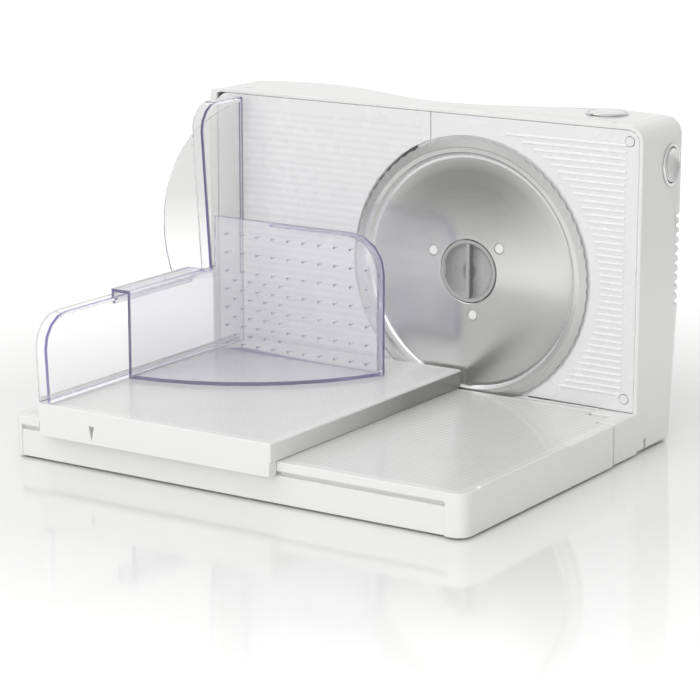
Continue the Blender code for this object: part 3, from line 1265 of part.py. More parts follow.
def make_runner(body):
    """The strip in the base's front rail that the carriage clips to."""
    face = -BASE_FRONT + LIP_OVERHANG
    low = (-RUNNER_CENTRE - RUNNER_LENGTH / 2, -BASE_FRONT + GAP, RAIL_TOP - RAIL_HEIGHT + GAP)
    high = (-RUNNER_CENTRE + RUNNER_LENGTH / 2, face + RAIL_DEPTH - GAP, RAIL_TOP - GAP)
    finish(box("carriage_runner", low, high), "grey_plastic", body)


def make_carriage(body):
    """The sliding plate with its front skirt and small pointer mark."""
    low = (-CARRIAGE_LEFT, -CARRIAGE_FRONT, CARRIAGE_BOTTOM)
    plate = box("carriage_plate", low, (-CARRIAGE_RIGHT, -CARRIAGE_REAR, CARRIAGE_TOP))
    bevel_edges(plate, CARRIAGE_EDGE)
    plate = baked(plate)
    skirt_low = (-CARRIAGE_LEFT + CARRIAGE_EDGE, -CARRIAGE_FRONT, CARRIAGE_TOP - SKIRT_HEIGHT)
    skirt_right = -CARRIAGE_RIGHT - CARRIAGE_EDGE
    skirt_high = (skirt_right, -CARRIAGE_FRONT + SKIRT_THICKNESS, CARRIAGE_TOP - CARRIAGE_EDGE * 2)
    add(plate, box("carriage_skirt", skirt_low, skirt_high))
    wall = CARRIAGE_WALL
    cut(plate, box("carriage_hollow", (-CARRIAGE_LEFT + wall, -CARRIAGE_FRONT + SKIRT_THICKNESS, 0),
                   (-CARRIAGE_RIGHT - wall, -CARRIAGE_REAR - wall, CARRIAGE_TOP - CARRIAGE_SKIN)))
    top = CARRIAGE_TOP - MARK_TOP_DROP
    mark = [(-MARK_PLACE - MARK_WIDTH / 2, top), (-MARK_PLACE, top - MARK_HEIGHT),
            (-MARK_PLACE + MARK_WIDTH / 2, top)]
    cut(plate, slab("mark_cutter", mark, -CARRIAGE_FRONT - OVERRUN, -CARRIAGE_FRONT + MARK_DEPTH, "y"))
    finish(plate, "white_plastic", body)


def stop_outline(inset, tail):
    """The back stop's side outline, drawn in by inset along its front and top edges; tail moves
    its lower and rear edges outwards."""
    front_bottom = (-STOP_FRONT + inset, STOP_BOTTOM - tail)
    low_corner = STOP_LOW_CORNER - inset
    high_corner = STOP_HIGH_CORNER - inset
    low_centre = (-STOP_FRONT - STOP_LEAN + STOP_LOW_CORNER, STOP_LOW_TOP - STOP_LOW_CORNER)
    high_centre = (-STOP_STEP_PLACE - STOP_STEP_LEAN + STOP_HIGH_CORNER, STOP_HIGH_TOP - STOP_HIGH_CORNER)
    outline = [front_bottom]
    outline += arc(low_centre, low_corner, 180, 90, CORNER_STEPS)
    outline.append((-STOP_STEP_PLACE + inset, STOP_LOW_TOP - inset))
    outline += arc(high_centre, high_corner, 180, 90, CORNER_STEPS)
    outline.append((-STOP_REAR + tail, STOP_HIGH_TOP - inset))
    outline.append((-STOP_REAR + tail, STOP_BOTTOM - tail))
    return outline


def make_stop(body):
    """The clear back stop: a low and a tall part with one flange along their edges."""
    inside, outside = -STOP_INSIDE, -STOP_INSIDE - STOP_THICKNESS
    edge = -STOP_FLANGE_EDGE
    stop = slab("back_stop", stop_outline(0, 0), edge, inside, "x")
    cutter = slab("stop_cutter", stop_outline(STOP_FLANGE_THICKNESS, OVERRUN), edge - OVERRUN, outside, "x")
    cut(stop, cutter)
    rear = -STOP_REAR - GUARD_THICKNESS - GAP * 2
    add(stop, box("stop_foot", (edge, -STOP_FRONT + STOP_FLANGE_THICKNESS / 2, STOP_BOTTOM),
                  (outside + STOP_THICKNESS / 2, rear, STOP_BOTTOM + STOP_FOOT_HEIGHT)))
    finish(stop, "clear_plastic", body)


def make_guard(body):
    """The clear D-shaped thumb guard at the back stop's rear edge."""
    centre = (-GUARD_CENTRE, GUARD_CENTRE_HEIGHT)
    root = -STOP_INSIDE - STOP_THICKNESS - GAP
    top_angle = 180 - math.degrees(math.acos((-root - GUARD_CENTRE) / GUARD_RADIUS))
    tip_angle = 180 + math.degrees(math.asin((GUARD_CENTRE_HEIGHT - GUARD_TIP_HEIGHT) / GUARD_RADIUS))
    outline = arc(centre, GUARD_RADIUS, top_angle, 180, GUARD_STEPS)
    outline += arc(centre, GUARD_RADIUS, 180, tip_angle, CORNER_STEPS)[1:]
    outline.append((root, GUARD_ROOT_HEIGHT))
    back = -STOP_REAR
    guard = slab("thumb_guard", outline, back - GUARD_THICKNESS, back, "y")
    finish(guard, "clear_plastic", body)


def holder_floor():
    """The holder's floor outline, with its curved front edge."""
    start = Vector((-HOLDER_LEFT, -HOLDER_FRONT))
    end = Vector((-HOLDER_RIGHT, -HOLDER_PLATE_BACK))
    middle = (start + end) / 2
    chord = end - start
    across = Vector((-chord.y, chord.x)).normalized()
    centre = middle + across * math.sqrt(HOLDER_FLOOR_RADIUS ** 2 - (chord.length / 2) ** 2)
    first = math.degrees(math.atan2(start.y - centre.y, start.x - centre.x))
    last = math.degrees(math.atan2(end.y - centre.y, end.x - centre.x))
    outline = arc(centre, HOLDER_FLOOR_RADIUS, first, last, CORNER_STEPS * 2)
    outline.append((-HOLDER_LEFT, -HOLDER_PLATE_BACK))
    return outline


def spike(place):
    """One spike behind the holder's plate."""
    start = -HOLDER_PLATE_BACK - HOLDER_THICKNESS / 2
    length = SPIKE_LENGTH + HOLDER_THICKNESS / 2
    return cylinder("spike", SPIKE_RADIUS, (place[0], start, place[1]), length, "y", SPIKE_SIDES,
                    SPIKE_TIP_RADIUS)


def in_holder_corner(x, height):
    """Whether a place is too near the holder plate's rounded corner for a spike."""
    across = x + HOLDER_RIGHT + HOLDER_CORNER
    rise = height - HOLDER_TOP + HOLDER_CORNER
    return min(across, rise) > 0 and math.hypot(across, rise) > HOLDER_CORNER - SPIKE_CORNER_MARGIN


def spike_places():
    """The spikes' grid, and the extra ones between them in its lower left corner."""
    places = []
    for column in range(SPIKE_COLUMNS):
        for row in range(SPIKE_ROWS):
            x = -SPIKE_LEFT + SPIKE_COLUMN_PITCH * column
            height = SPIKE_BOTTOM + SPIKE_ROW_PITCH * row
            if not in_holder_corner(x, height):
                places.append((x, height))
    for column in range(EXTRA_COLUMNS):
        for row in range(EXTRA_ROWS):
            x = -SPIKE_LEFT + SPIKE_COLUMN_PITCH * (column + 0.5)
            places.append((x, SPIKE_BOTTOM + SPIKE_ROW_PITCH * (row + 0.5)))
    return places


def make_holder(body):
    """The clear food holder: a spiked plate, a floor, and a side wall hooked over the back stop."""
    corner = HOLDER_CORNER
    left, right = -HOLDER_LEFT, -HOLDER_RIGHT
    outline = [(left, HOLDER_BOTTOM), (right, HOLDER_BOTTOM)]
    outline += arc((right - corner, HOLDER_TOP - corner), corner, 0, 90, CORNER_STEPS)
    outline.append((left, HOLDER_TOP))
    holder = slab("food_holder", outline, -HOLDER_PLATE_FACE, -HOLDER_PLATE_BACK, "y")
    floor_top = HOLDER_BOTTOM + HOLDER_FLOOR_THICKNESS
    add(holder, slab("holder_floor", holder_floor(), HOLDER_BOTTOM, floor_top))
    inner = left + HOLDER_SIDE_THICKNESS
    hook_bottom = STOP_LOW_TOP + GAP
    hook_top = hook_bottom + HOOK_THICKNESS
    add(holder, box("holder_side", (left, -HOLDER_FRONT, HOLDER_BOTTOM),
                    (inner, -HOLDER_PLATE_BACK, hook_top)))
    outer = -STOP_FLANGE_EDGE - GAP
    add(holder, box("hook_top", (outer - HOOK_THICKNESS, -HOLDER_FRONT, hook_bottom),
                    (inner, -HOOK_REAR, hook_top)))
    add(holder, box("hook_lip", (outer - HOOK_THICKNESS, -HOLDER_FRONT, STOP_LOW_TOP - HOOK_DROP),
                    (outer, -HOOK_REAR, hook_top)))
    add(holder, joined("spikes", [spike(place) for place in spike_places()]))
    finish(holder, "clear_plastic", body)


def make_power_button(body):
    """The oval power button on its stem."""
    top = HOUSING_TOP + POWER_PROUD
    button = slab("power_button", oval(POWER_PLACE, POWER_HALF_SIZES), top - POWER_THICKNESS, top)
    stem_top = top - POWER_THICKNESS / 2
    bottom = HOUSING_TOP - POWER_STEM_LENGTH
    add(button, cylinder("power_stem", POWER_STEM_RADIUS, (POWER_PLACE[0], POWER_PLACE[1], bottom),
                         stem_top - bottom, "z", SMALL_SIDES))
    finish(button, "white_plastic", body)


def make_safety_button(body):
    """The oval safety button with its hollow face."""
    outer = HOUSING_REACH_RIGHT + SAFETY_PROUD
    place = (SAFETY_DEPTH_PLACE, SAFETY_HEIGHT)
    button = slab("safety_button", oval(place, SAFETY_HALF_SIZES), outer - SAFETY_THICKNESS, outer, "x")
    shape = bmesh.new()
    bmesh.ops.create_uvsphere(shape, u_segments=ROUND_SIDES, v_segments=ROUND_SIDES // 2,
                              radius=SAFETY_HOLLOW_RADIUS)
    ball = new_object("safety_hollow", mesh_from(shape, "safety_hollow"), PARTS)
    ball.location = (outer + SAFETY_HOLLOW_RADIUS - SAFETY_HOLLOW_DEPTH, SAFETY_DEPTH_PLACE, SAFETY_HEIGHT)
    cut(button, ball)
    finish(button, "chrome", body)


def main():
    """Builds the whole slicer."""
    housing = make_body("housing_frame", (0, 0, 0))
    make_housing(housing)
    make_fixed_panel(housing)
    make_panel_screws(housing)
    make_motor(housing)
    make_guide_rods(housing)
    make_switches(housing)
    make_cord_inlet(housing)
    make_housing_feet(housing)
    make_gauge(make_body("gauge_frame", (-DIAL_PLACE, 0, DIAL_HEIGHT), housing))
    make_dial(make_body("dial_frame", (-DIAL_PLACE, 0, DIAL_HEIGHT), housing))
    spin = make_body("blade_frame", (0, 0, BLADE_AXIS_HEIGHT), housing)
    make_blade(spin)
    make_gear(spin)
    make_knob(make_body("lock_frame", (0, 0, BLADE_AXIS_HEIGHT), spin))
    make_rotor(make_body("rotor_frame", (WORM_PLACE, WORM_DEPTH, 0), housing))
    hinge = make_body("base_frame", (0, -HINGE_PLACE, HINGE_HEIGHT), housing)
    make_base(hinge)
    make_base_feet(hinge)
    runner = make_body("runner_frame", (-RUNNER_CENTRE, -BASE_FRONT, RAIL_TOP), hinge)
    make_runner(runner)
    carriage = make_body("carriage_frame", (-CARRIAGE_LEFT, -CARRIAGE_FRONT, CARRIAGE_BOTTOM), runner)
    make_carriage(carriage)
    make_stop(carriage)
    make_guard(carriage)
    make_holder(make_body("holder_frame", (-HOLDER_LEFT, -HOLDER_FRONT, HOLDER_BOTTOM), carriage))
    make_power_button(make_body("power_frame", (*POWER_PLACE, HOUSING_TOP), housing))
    safety_place = (HOUSING_REACH_RIGHT, SAFETY_DEPTH_PLACE, SAFETY_HEIGHT)
    make_safety_button(make_body("safety_frame", safety_place, housing))


clear_scene()
PARTS = bpy.data.collections.new("food_slicer")
CUTTERS = bpy.data.collections.new("cutters")
bpy.context.scene.collection.children.link(PARTS)
bpy.context.scene.collection.children.link(CUTTERS)
BODY_PLACES = {}
main()
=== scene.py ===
import math

import bpy
from bpy.props import FloatProperty, FloatVectorProperty, IntProperty, PointerProperty
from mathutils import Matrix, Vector


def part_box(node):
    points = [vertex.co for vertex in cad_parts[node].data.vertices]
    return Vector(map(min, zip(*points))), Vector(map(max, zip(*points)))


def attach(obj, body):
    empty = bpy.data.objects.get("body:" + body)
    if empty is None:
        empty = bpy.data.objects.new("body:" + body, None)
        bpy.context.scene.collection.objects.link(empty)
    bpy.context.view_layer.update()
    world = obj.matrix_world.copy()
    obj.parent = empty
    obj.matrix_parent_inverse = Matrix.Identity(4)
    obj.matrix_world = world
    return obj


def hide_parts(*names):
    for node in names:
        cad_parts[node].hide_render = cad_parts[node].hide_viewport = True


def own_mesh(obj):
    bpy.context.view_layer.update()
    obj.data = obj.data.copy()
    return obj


bl_info = {
    "name": "Folding food slicer",
    "version": (1, 0, 0),
    "blender": (4, 5, 0),
    "location": "3D View > Sidebar > Slicer",
    "description": "Dresses the packed food slicer with moulded, ground and clear finishes",
    "category": "Object",
}

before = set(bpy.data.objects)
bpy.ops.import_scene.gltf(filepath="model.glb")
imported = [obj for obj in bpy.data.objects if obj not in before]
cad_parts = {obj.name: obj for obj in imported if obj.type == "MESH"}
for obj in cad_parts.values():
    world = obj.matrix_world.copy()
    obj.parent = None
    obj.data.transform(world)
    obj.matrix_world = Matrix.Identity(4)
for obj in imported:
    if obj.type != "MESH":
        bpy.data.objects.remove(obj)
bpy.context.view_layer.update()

# Units, and the limits that the small helpers work to
MM = 0.001
MERGE = 0.02 * MM
HAIR = 0.05 * MM
NEAR = 0.1 * MM
TOUCH = 0.01 * MM
FLAT_ANGLE = math.radians(0.6)
SMOOTH_ANGLE = math.radians(32)
BEVEL_ANGLE = math.radians(42)
QUARTER = math.radians(90)
POLE_RADIUS = 0.03 * MM
RIM_REACH = 6 * MM
LOOKS_ALONG = 0.8

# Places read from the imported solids
BLADE_LOW, BLADE_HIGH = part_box("blade")
BLADE_MIDDLE = (BLADE_LOW + BLADE_HIGH) / 2
BLADE_AXIS = Vector((BLADE_MIDDLE.x, 0, BLADE_MIDDLE.z))
BLADE_RADIUS = (BLADE_HIGH.x - BLADE_LOW.x) / 2
HOUSING_LOW, HOUSING_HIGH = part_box("housing")
PANEL_LOW, PANEL_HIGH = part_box("fixed_panel")
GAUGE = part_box("gauge_plate")
HOLDER_LOW, HOLDER_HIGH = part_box("food_holder")
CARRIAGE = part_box("carriage_plate")
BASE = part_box("base_plate")
KNOB_LOW, KNOB_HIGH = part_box("blade_lock_knob")
POWER_LOW, POWER_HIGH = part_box("power_button")
SAFETY_LOW, SAFETY_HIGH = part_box("safety_button")

# The housing's seams and marks in millimetres: colour share, the side they are measured from, reach
# from that side, reach from the panels' front and depth below the top
HOUSING_LINES = (
    (0.55, HOUSING_HIGH.x, (-12.3, -11.7), (12.7, 52), 1.2),
    (0.55, HOUSING_HIGH.x, (-140, -12.3), (12.7, 13.4), 12),
    (0.30, HOUSING_HIGH.x, (-25, -21.5), (6.2, 8), 1.2),
    (0.62, HOUSING_LOW.x, (22, 29), (12, 14), 1.2),
)

# The front panels: the fixed panel's ribs and corner, the painted highlight on the ribs' fronts, the painted
# shade in the gauge plate's rib valleys, the caps' tone, and the ledge behind the blade's edge, whose
# section has rows of the same form as the blade's
RIB_PROUD = 0.8 * MM
RIB_PITCH = 4.076 * MM
PANEL_FACE = PANEL_LOW.y + RIB_PROUD
CORNER_RADIUS = 7.3 * MM
ARC_REACH = 0.3 * MM
RIB_HIGHLIGHT_TONE = 1.1
RIB_HIGHLIGHT_DEPTH = (-1, 0.3)
GAUGE_VALLEY_SHADE = 0.05
CAP_TONE = 0.97
LEDGE_RADII = {"outer": 87.4 * MM, "inner": 83 * MM}
LEDGE_SECTION = (("outer", 0, "face", 1.4), ("inner", 0, "face", 1.4), ("inner", 0, "face", 2.4),
                 ("outer", 0, "face", 2.4), ("outer", 0, "face", 1.4))
LEDGE_START = 0.2 * MM
LEDGE_STEPS = 128

# The blade's section, point by point: a radius and the millimetres out from it, a depth and the
# millimetres behind it. The grind is the inner end of the ground ring, the ring that of the bright one.
BLADE_SECTION = (
    ("axis", 7, "back", 0), ("axis", 39, "back", 0), ("axis", 64, "front", 4.6),
    ("ring", 0.4, "front", 4), ("ring", 1.4, "edge", 0.8), ("rim", -1.2, "edge", 0.2),
    ("rim", -0.1, "edge", 0), ("rim", -0.1, "edge", -0.08), ("rim", -2, "edge", -0.35),
    ("grind", 0, "front", 0.05), ("grind", -0.3, "front", 0), ("ring", 0.3, "front", 0.05),
    ("ring", 0, "front", 0.4), ("ring", -0.7, "front", 2), ("ring", -1.8, "front", 2.8),
    ("ring", -4, "front", 3), ("axis", 64, "front", 2.55), ("axis", 54, "front", 1.75),
    ("axis", 44, "front", 1.05), ("axis", 34, "front", 0.5), ("axis", 24, "front", 0.15),
    ("axis", 20.9, "front", 0.1), ("axis", 20.5, "front", 0.4), ("axis", 20.5, "front", 4),
    ("axis", 7, "front", 4), ("axis", 7, "back", 0),
)
EDGE_PLACE = BLADE_LOW.y + 1.1 * MM
WAVE_STEPS = 8
WAVE_RIM = BLADE_RADIUS - 1.5 * MM
WAVE_HOLLOW = BLADE_RADIUS - 3 * MM
PIN_ANGLES = (37, 157, 277)
PIN_CIRCLE = 28 * MM
PIN_HOLE_RADIUS = 3.5 * MM
DRILL_LENGTH = 20 * MM
DRILL_STEPS = 32
PIN_HEAD = 0.5 * MM
PIN_SINK = 0.2 * MM

# The lock knob's section in the same form, its fin, and the painted shadows in its two hollows
KNOB_MIDDLE = Vector(((KNOB_LOW.x + KNOB_HIGH.x) / 2, 0, (KNOB_LOW.z + KNOB_HIGH.z) / 2))
KNOB_FACE = KNOB_LOW.y + 1.5 * MM
KNOB_FLOOR = KNOB_FACE + 3.4 * MM
KNOB_BACK = BLADE_LOW.y + 3.7 * MM
KNOB_SECTION = (
    ("axis", 0, "end", 0), ("axis", 6.5, "end", 0), ("axis", 6.5, "back", 0), ("axis", 19.2, "back", 0),
    ("axis", 20, "back", -0.8), ("axis", 20, "face", 0.8), ("axis", 19.8, "face", 0.25),
    ("axis", 19.3, "face", 0), ("axis", 18.3, "face", 0), ("axis", 17.9, "face", 0.3),
    ("axis", 16.6, "face", 2), ("axis", 15.6, "floor", -0.4), ("axis", 14.8, "floor", 0),
    ("axis", 8, "floor", 0), ("axis", 0, "floor", 0),
)
FIN_FRONT = KNOB_FACE - 0.4 * MM
FIN_BACK = KNOB_FLOOR + 0.6 * MM
FIN_WIDTH = 3.4 * MM
FIN_HEIGHT = 36 * MM
FIN_TAPER = (0.6, 1, 0.97)
KNOB_STEPS = 72
KNOB_SHADES = (((-17, -1.6), (-2, -15), 0.5), ((1.2, 9), (8.5, 2), 0.6))
SHADE_DEPTH = 0.7 * MM

# The buttons' sections as (share of the radius, millimetres below the face), and the safety button's
# edge as (millimetres out from the radius, millimetres below the face)
POWER_DOME = ((0, 0), (0.35, 0.1), (0.6, 0.3), (0.8, 0.65), (0.92, 1.05), (0.98, 1.5), (1, 2.1), (1, 4.3))
POWER_SKIRT = 4.5 * MM
POWER_STEM = 3 * MM
SAFETY_EDGE = ((0, 0.5), (-0.25, 0.1), (-0.6, 0), (-1, 0.12))
SAFETY_DISH = ((0.75, 0.8), (0.5, 1.2), (0.25, 1.45), (0, 1.52))
BUTTON_ROUNDING = 0.3 * MM
RING_GAP = 0.3 * MM
RING_STEPS = 8
BUTTON_STEPS = 72
BEZEL_STEPS = 96

# The base and the carriage: how dark the painted shade in their ribs' valleys, the painted gap shade by the
# housing's ear, the pointer mark and the painted shade on the carriage's side are, and where these lie, in
# millimetres where no unit is given
BASE_VALLEY_SHADE = 0.22
BASE_RIB_DEPTH = (-2, 0)
HINGE_GAP_SHADE = 0.6
HINGE_GAP_SPAN = (-1.4, 1)
SIDE_REACH = 0.5 * MM
CARRIAGE_VALLEY_SHADE = 0.16
POINTER_TONE = 0.42
POINTER = ((38.6, 43.4), (0.25, 0.8))
SIDE_SHADE = 0.85
SIDE_SHADE_DEPTH = (-0.3, 1)
SIDE_SHADE_END = 150 * MM

# The clear parts
STOP_THICKNESS = 2.5 * MM
HOLDER_PLATE = HOLDER_HIGH.y - 7.5 * MM
HOLDER_CORNER = 24 * MM
FLANGE_LIFT = 4 * MM
FLANGE_STEPS = 10
SPIKE_START = Vector((HOLDER_LOW.x + 18 * MM, HOLDER_HIGH.y - 4.9 * MM, 0))

# How far the sharp edges of the smaller pieces are rounded
SMALL_EDGE = 0.25 * MM
MOULD_EDGE = 0.3 * MM
GLAND_EDGE = 0.5 * MM
FIN_EDGE = 0.5 * MM
BASE_EDGE = 0.6 * MM
DIAL_EDGE = 0.8 * MM
HOLDER_EDGE = 0.1 * MM

# Moulded plastics: the range of their roughness, and how strong their fine grain is
PLASTICS = {
    "housing_plastic": ((0.10, 0.18), 0.3),
    "fixed_panel_plastic": ((0.24, 0.3), 0.2),
    "gauge_plate_plastic": ((0.24, 0.3), 0.2),
    "cap_plastic": ((0.25, 0.35), 0.8),
    "gear_nylon": ((0.3, 0.42), 1.0),
    "cradle_plastic": ((0.35, 0.5), 1.0),
    "knob_plastic": ((0.22, 0.32), 0.8),
    "button_plastic": ((0.12, 0.2), 0.3),
    "base_plastic": ((0.16, 0.26), 0.4),
    "runner_plastic": ((0.3, 0.4), 0.8),
    "carriage_plastic": ((0.16, 0.26), 0.4),
    "dial_plastic": ((0.16, 0.26), 0.6),
    "carrier_nylon": ((0.3, 0.42), 1.0),
}

# Colours of the hidden plastics, the tones that plastic and rubber vary between, how dark a painted
# shade gets, and how high fine ribs stand
NYLON = (0.84, 0.84, 0.82)
CRADLE_BLACK = (0.035, 0.035, 0.035)
FLOW_TONES = (0.985, 1.012)
CLEAR_TONES = (0.996, 1.004)
RUBBER_TONES = ((0.03, 0.03, 0.03), (0.09, 0.09, 0.09))
PAINTED_SHADE_TONE = 0.2
RIB_RELIEF = 0.05 * MM

# Clear plastics: tint per metre of thickness, colour, and the share of light that passes through
# The rim, spike and flange entries are darker copies of the clear plastic: painted shade on those faces
CLEAR_PLASTICS = {
    "stop_clear_plastic": (8, (0.957, 0.954, 0.952), 0.97),
    "stop_rim_plastic": (12, (0.74, 0.70, 0.79), 0.84),
    "guard_clear_plastic": (8, (0.955, 0.957, 0.945), 0.97),
    "guard_rim_plastic": (8, (0.66, 0.66, 0.66), 0.8),
    "holder_clear_plastic": (8, (0.97, 0.97, 0.993), 0.82),
    "holder_rim_plastic": (12, (0.60, 0.56, 0.76), 0.75),
    "spike_plastic": (12, (0.72, 0.71, 0.74), 0.8),
    "flange_plastic": (10, (0.78, 0.76, 0.84), 0.9),
}

# Metals: colour, roughness, and how fine their drawing lines are
METALS = {
    "axle_steel": ((0.52, 0.52, 0.52), 0.28, 300),
    "motor_can_steel": ((0.45, 0.45, 0.46), 0.4, 120),
    "bearing_brass": ((0.70, 0.52, 0.25), 0.35, 300),
    "ring_chrome": ((0.78, 0.78, 0.78), 0.07, 80),
    "satin_chrome": ((0.66, 0.67, 0.66), 0.16, 90),
}

# How metal is drawn out and how much its tone and roughness vary, and the blade's tones, slanting
# scratches and rougher ground edge
DRAWN = (1, 1, 20)
METAL_TONES = (0.93, 1.05)
METAL_ROUGHNESS = (0.8, 1.3)
STEEL_TONES = ((0.78, 0.78, 0.77), (0.85, 0.85, 0.84))
BRIGHT_STEEL = (0.86, 0.86, 0.85)
SCRATCH_SLANT = 30
EDGE_ROUGHER = 0.26

# The camera stands where the photograph's lines meet
CAMERA_PLACE = (0.89635, -1.35957, 0.44851)
CAMERA_TURN = (math.radians(76.522), 0, math.radians(33.166))
CAMERA_LENS = 137.6
CAMERA_SENSOR = 36
CAMERA_REACH = 50

# The stage: each lamp's place and size, the dark part of the room and the floor
LAMPS = {
    "key": ((-1.1, -1.3, 1.5), 1.5),
    "fill": ((0.6, -1.6, 1.9), 1.6),
    "low_fill": ((0.1, -2.0, 0.5), 1.2),
}
LAMP_AIM = Vector((0, 0, 0.08))
DARK_SIDE = Vector((-0.65, -0.73, 0.2))
DARK_RANGE = (0.82, 0.95)
LEAST_LIGHT = 0.04
FLOOR_SIZE = 12

# The floor's glow far out, and that of the ring nearer in, as (from, to, strength) in metres
FAR_GLOW = (0.25, 0.6, 0.35)
RING_GLOW = (0.2, 0.4, 0.3)
RING_END = (0.9, 0.6, 1)


class SlicerFinish(bpy.types.PropertyGroup):
    """Colours and edge sizes of the moulded parts."""

    white: FloatVectorProperty(
        name="White plastic", description="Colour of the housing, base and carriage",
        subtype="COLOR", default=(0.84, 0.84, 0.825), min=0, max=1)
    panel: FloatVectorProperty(
        name="Panel plastic", description="Colour of the two front panels",
        subtype="COLOR", default=(0.83, 0.83, 0.84), min=0, max=1)
    grey: FloatVectorProperty(
        name="Grey plastic", description="Colour of the lock knob and runner",
        subtype="COLOR", default=(0.42, 0.425, 0.42), min=0, max=1)
    clear: FloatVectorProperty(
        name="Clear plastic", description="Tint that shows along the clear parts' edges",
        subtype="COLOR", default=(0.70, 0.66, 0.93), min=0, max=1)
    housing_edge: FloatProperty(
        name="Housing edge", description="Rounding of the housing's sharp edges",
        unit="LENGTH", default=0.8 * MM)
    panel_edge: FloatProperty(
        name="Panel edge", description="Rounding of the two front panels",
        unit="LENGTH", default=0.3 * MM)
    rib_edge: FloatProperty(
        name="Rib edge", description="Rounding of the fixed panel's ribs",
        unit="LENGTH", default=0.5 * MM)
    rib_reach: FloatProperty(
        name="Rib reach", description="How far the ribs run on to the right",
        unit="LENGTH", default=3 * MM)
    panel_growth: FloatProperty(
        name="Panel growth", description="How much of the seam round the panels is closed",
        unit="LENGTH", default=0.35 * MM)
    flange_depth: FloatProperty(
        name="Flange depth", description="Depth of the flange round the food holder's plate",
        unit="LENGTH", default=4.5 * MM)
    flange_thickness: FloatProperty(
        name="Flange thickness", description="Thickness of that flange",
        unit="LENGTH", default=1.6 * MM)
    recess_lip: FloatProperty(
        name="Recess lip", description="How far the panels' lip reaches in towards the blade",
        unit="LENGTH", default=0.9 * MM)
    clear_edge: FloatProperty(
        name="Clear edge", description="Rounding of the back stop's and thumb guard's edges",
        unit="LENGTH", default=0.45 * MM)
    rib_pitch: FloatProperty(
        name="Table rib pitch", description="Distance between the fine ribs on the base and carriage",
        unit="LENGTH", default=3.1 * MM)
    gauge_pitch: FloatProperty(
        name="Gauge rib pitch", description="Distance between the gauge plate's faint ribs",
        unit="LENGTH", default=4.6 * MM)


class SlicerBlade(bpy.types.PropertyGroup):
    """Sizes of the blade's ground edge."""

    teeth: IntProperty(
        name="Waves", description="Number of waves round the edge", default=68, min=12)
    wave_depth: FloatProperty(
        name="Wave depth", description="Depth of each wave", unit="LENGTH", default=1.1 * MM)
    wave_hollow: FloatProperty(
        name="Wave hollow", description="How far each wave is ground into the band",
        unit="LENGTH", default=0.1 * MM)
    grind_width: FloatProperty(
        name="Grind width", description="Width of the ground outer ring", unit="LENGTH", default=6 * MM)
    ring_width: FloatProperty(
        name="Ring width", description="Width of the bright ring inside it",
        unit="LENGTH", default=3.4 * MM)


class SlicerStage(bpy.types.PropertyGroup):
    """Light and floor."""

    room: FloatProperty(
        name="Room light", description="Strength of the even light from all round", default=0.92)
    front_dark: FloatProperty(
        name="Dark front", description="How much darker the room is in front, at the left", default=0.95)
    top_dark: FloatProperty(
        name="Dark top", description="How much darker the room is overhead", default=0.22)
    right_dark: FloatProperty(
        name="Dark right", description="How much darker the room is at the right", default=0.42)
    key: FloatProperty(
        name="Key light", description="Power of the large light at the left", unit="POWER", default=8)
    fill: FloatProperty(
        name="Fill light", description="Power of the light over the camera", unit="POWER", default=8)
    low_fill: FloatProperty(
        name="Low fill light", description="Power of the low light in front", unit="POWER", default=10)
    floor: FloatVectorProperty(
        name="Floor", description="Colour of the floor", subtype="COLOR",
        default=(0.89, 0.89, 0.88), min=0, max=1)


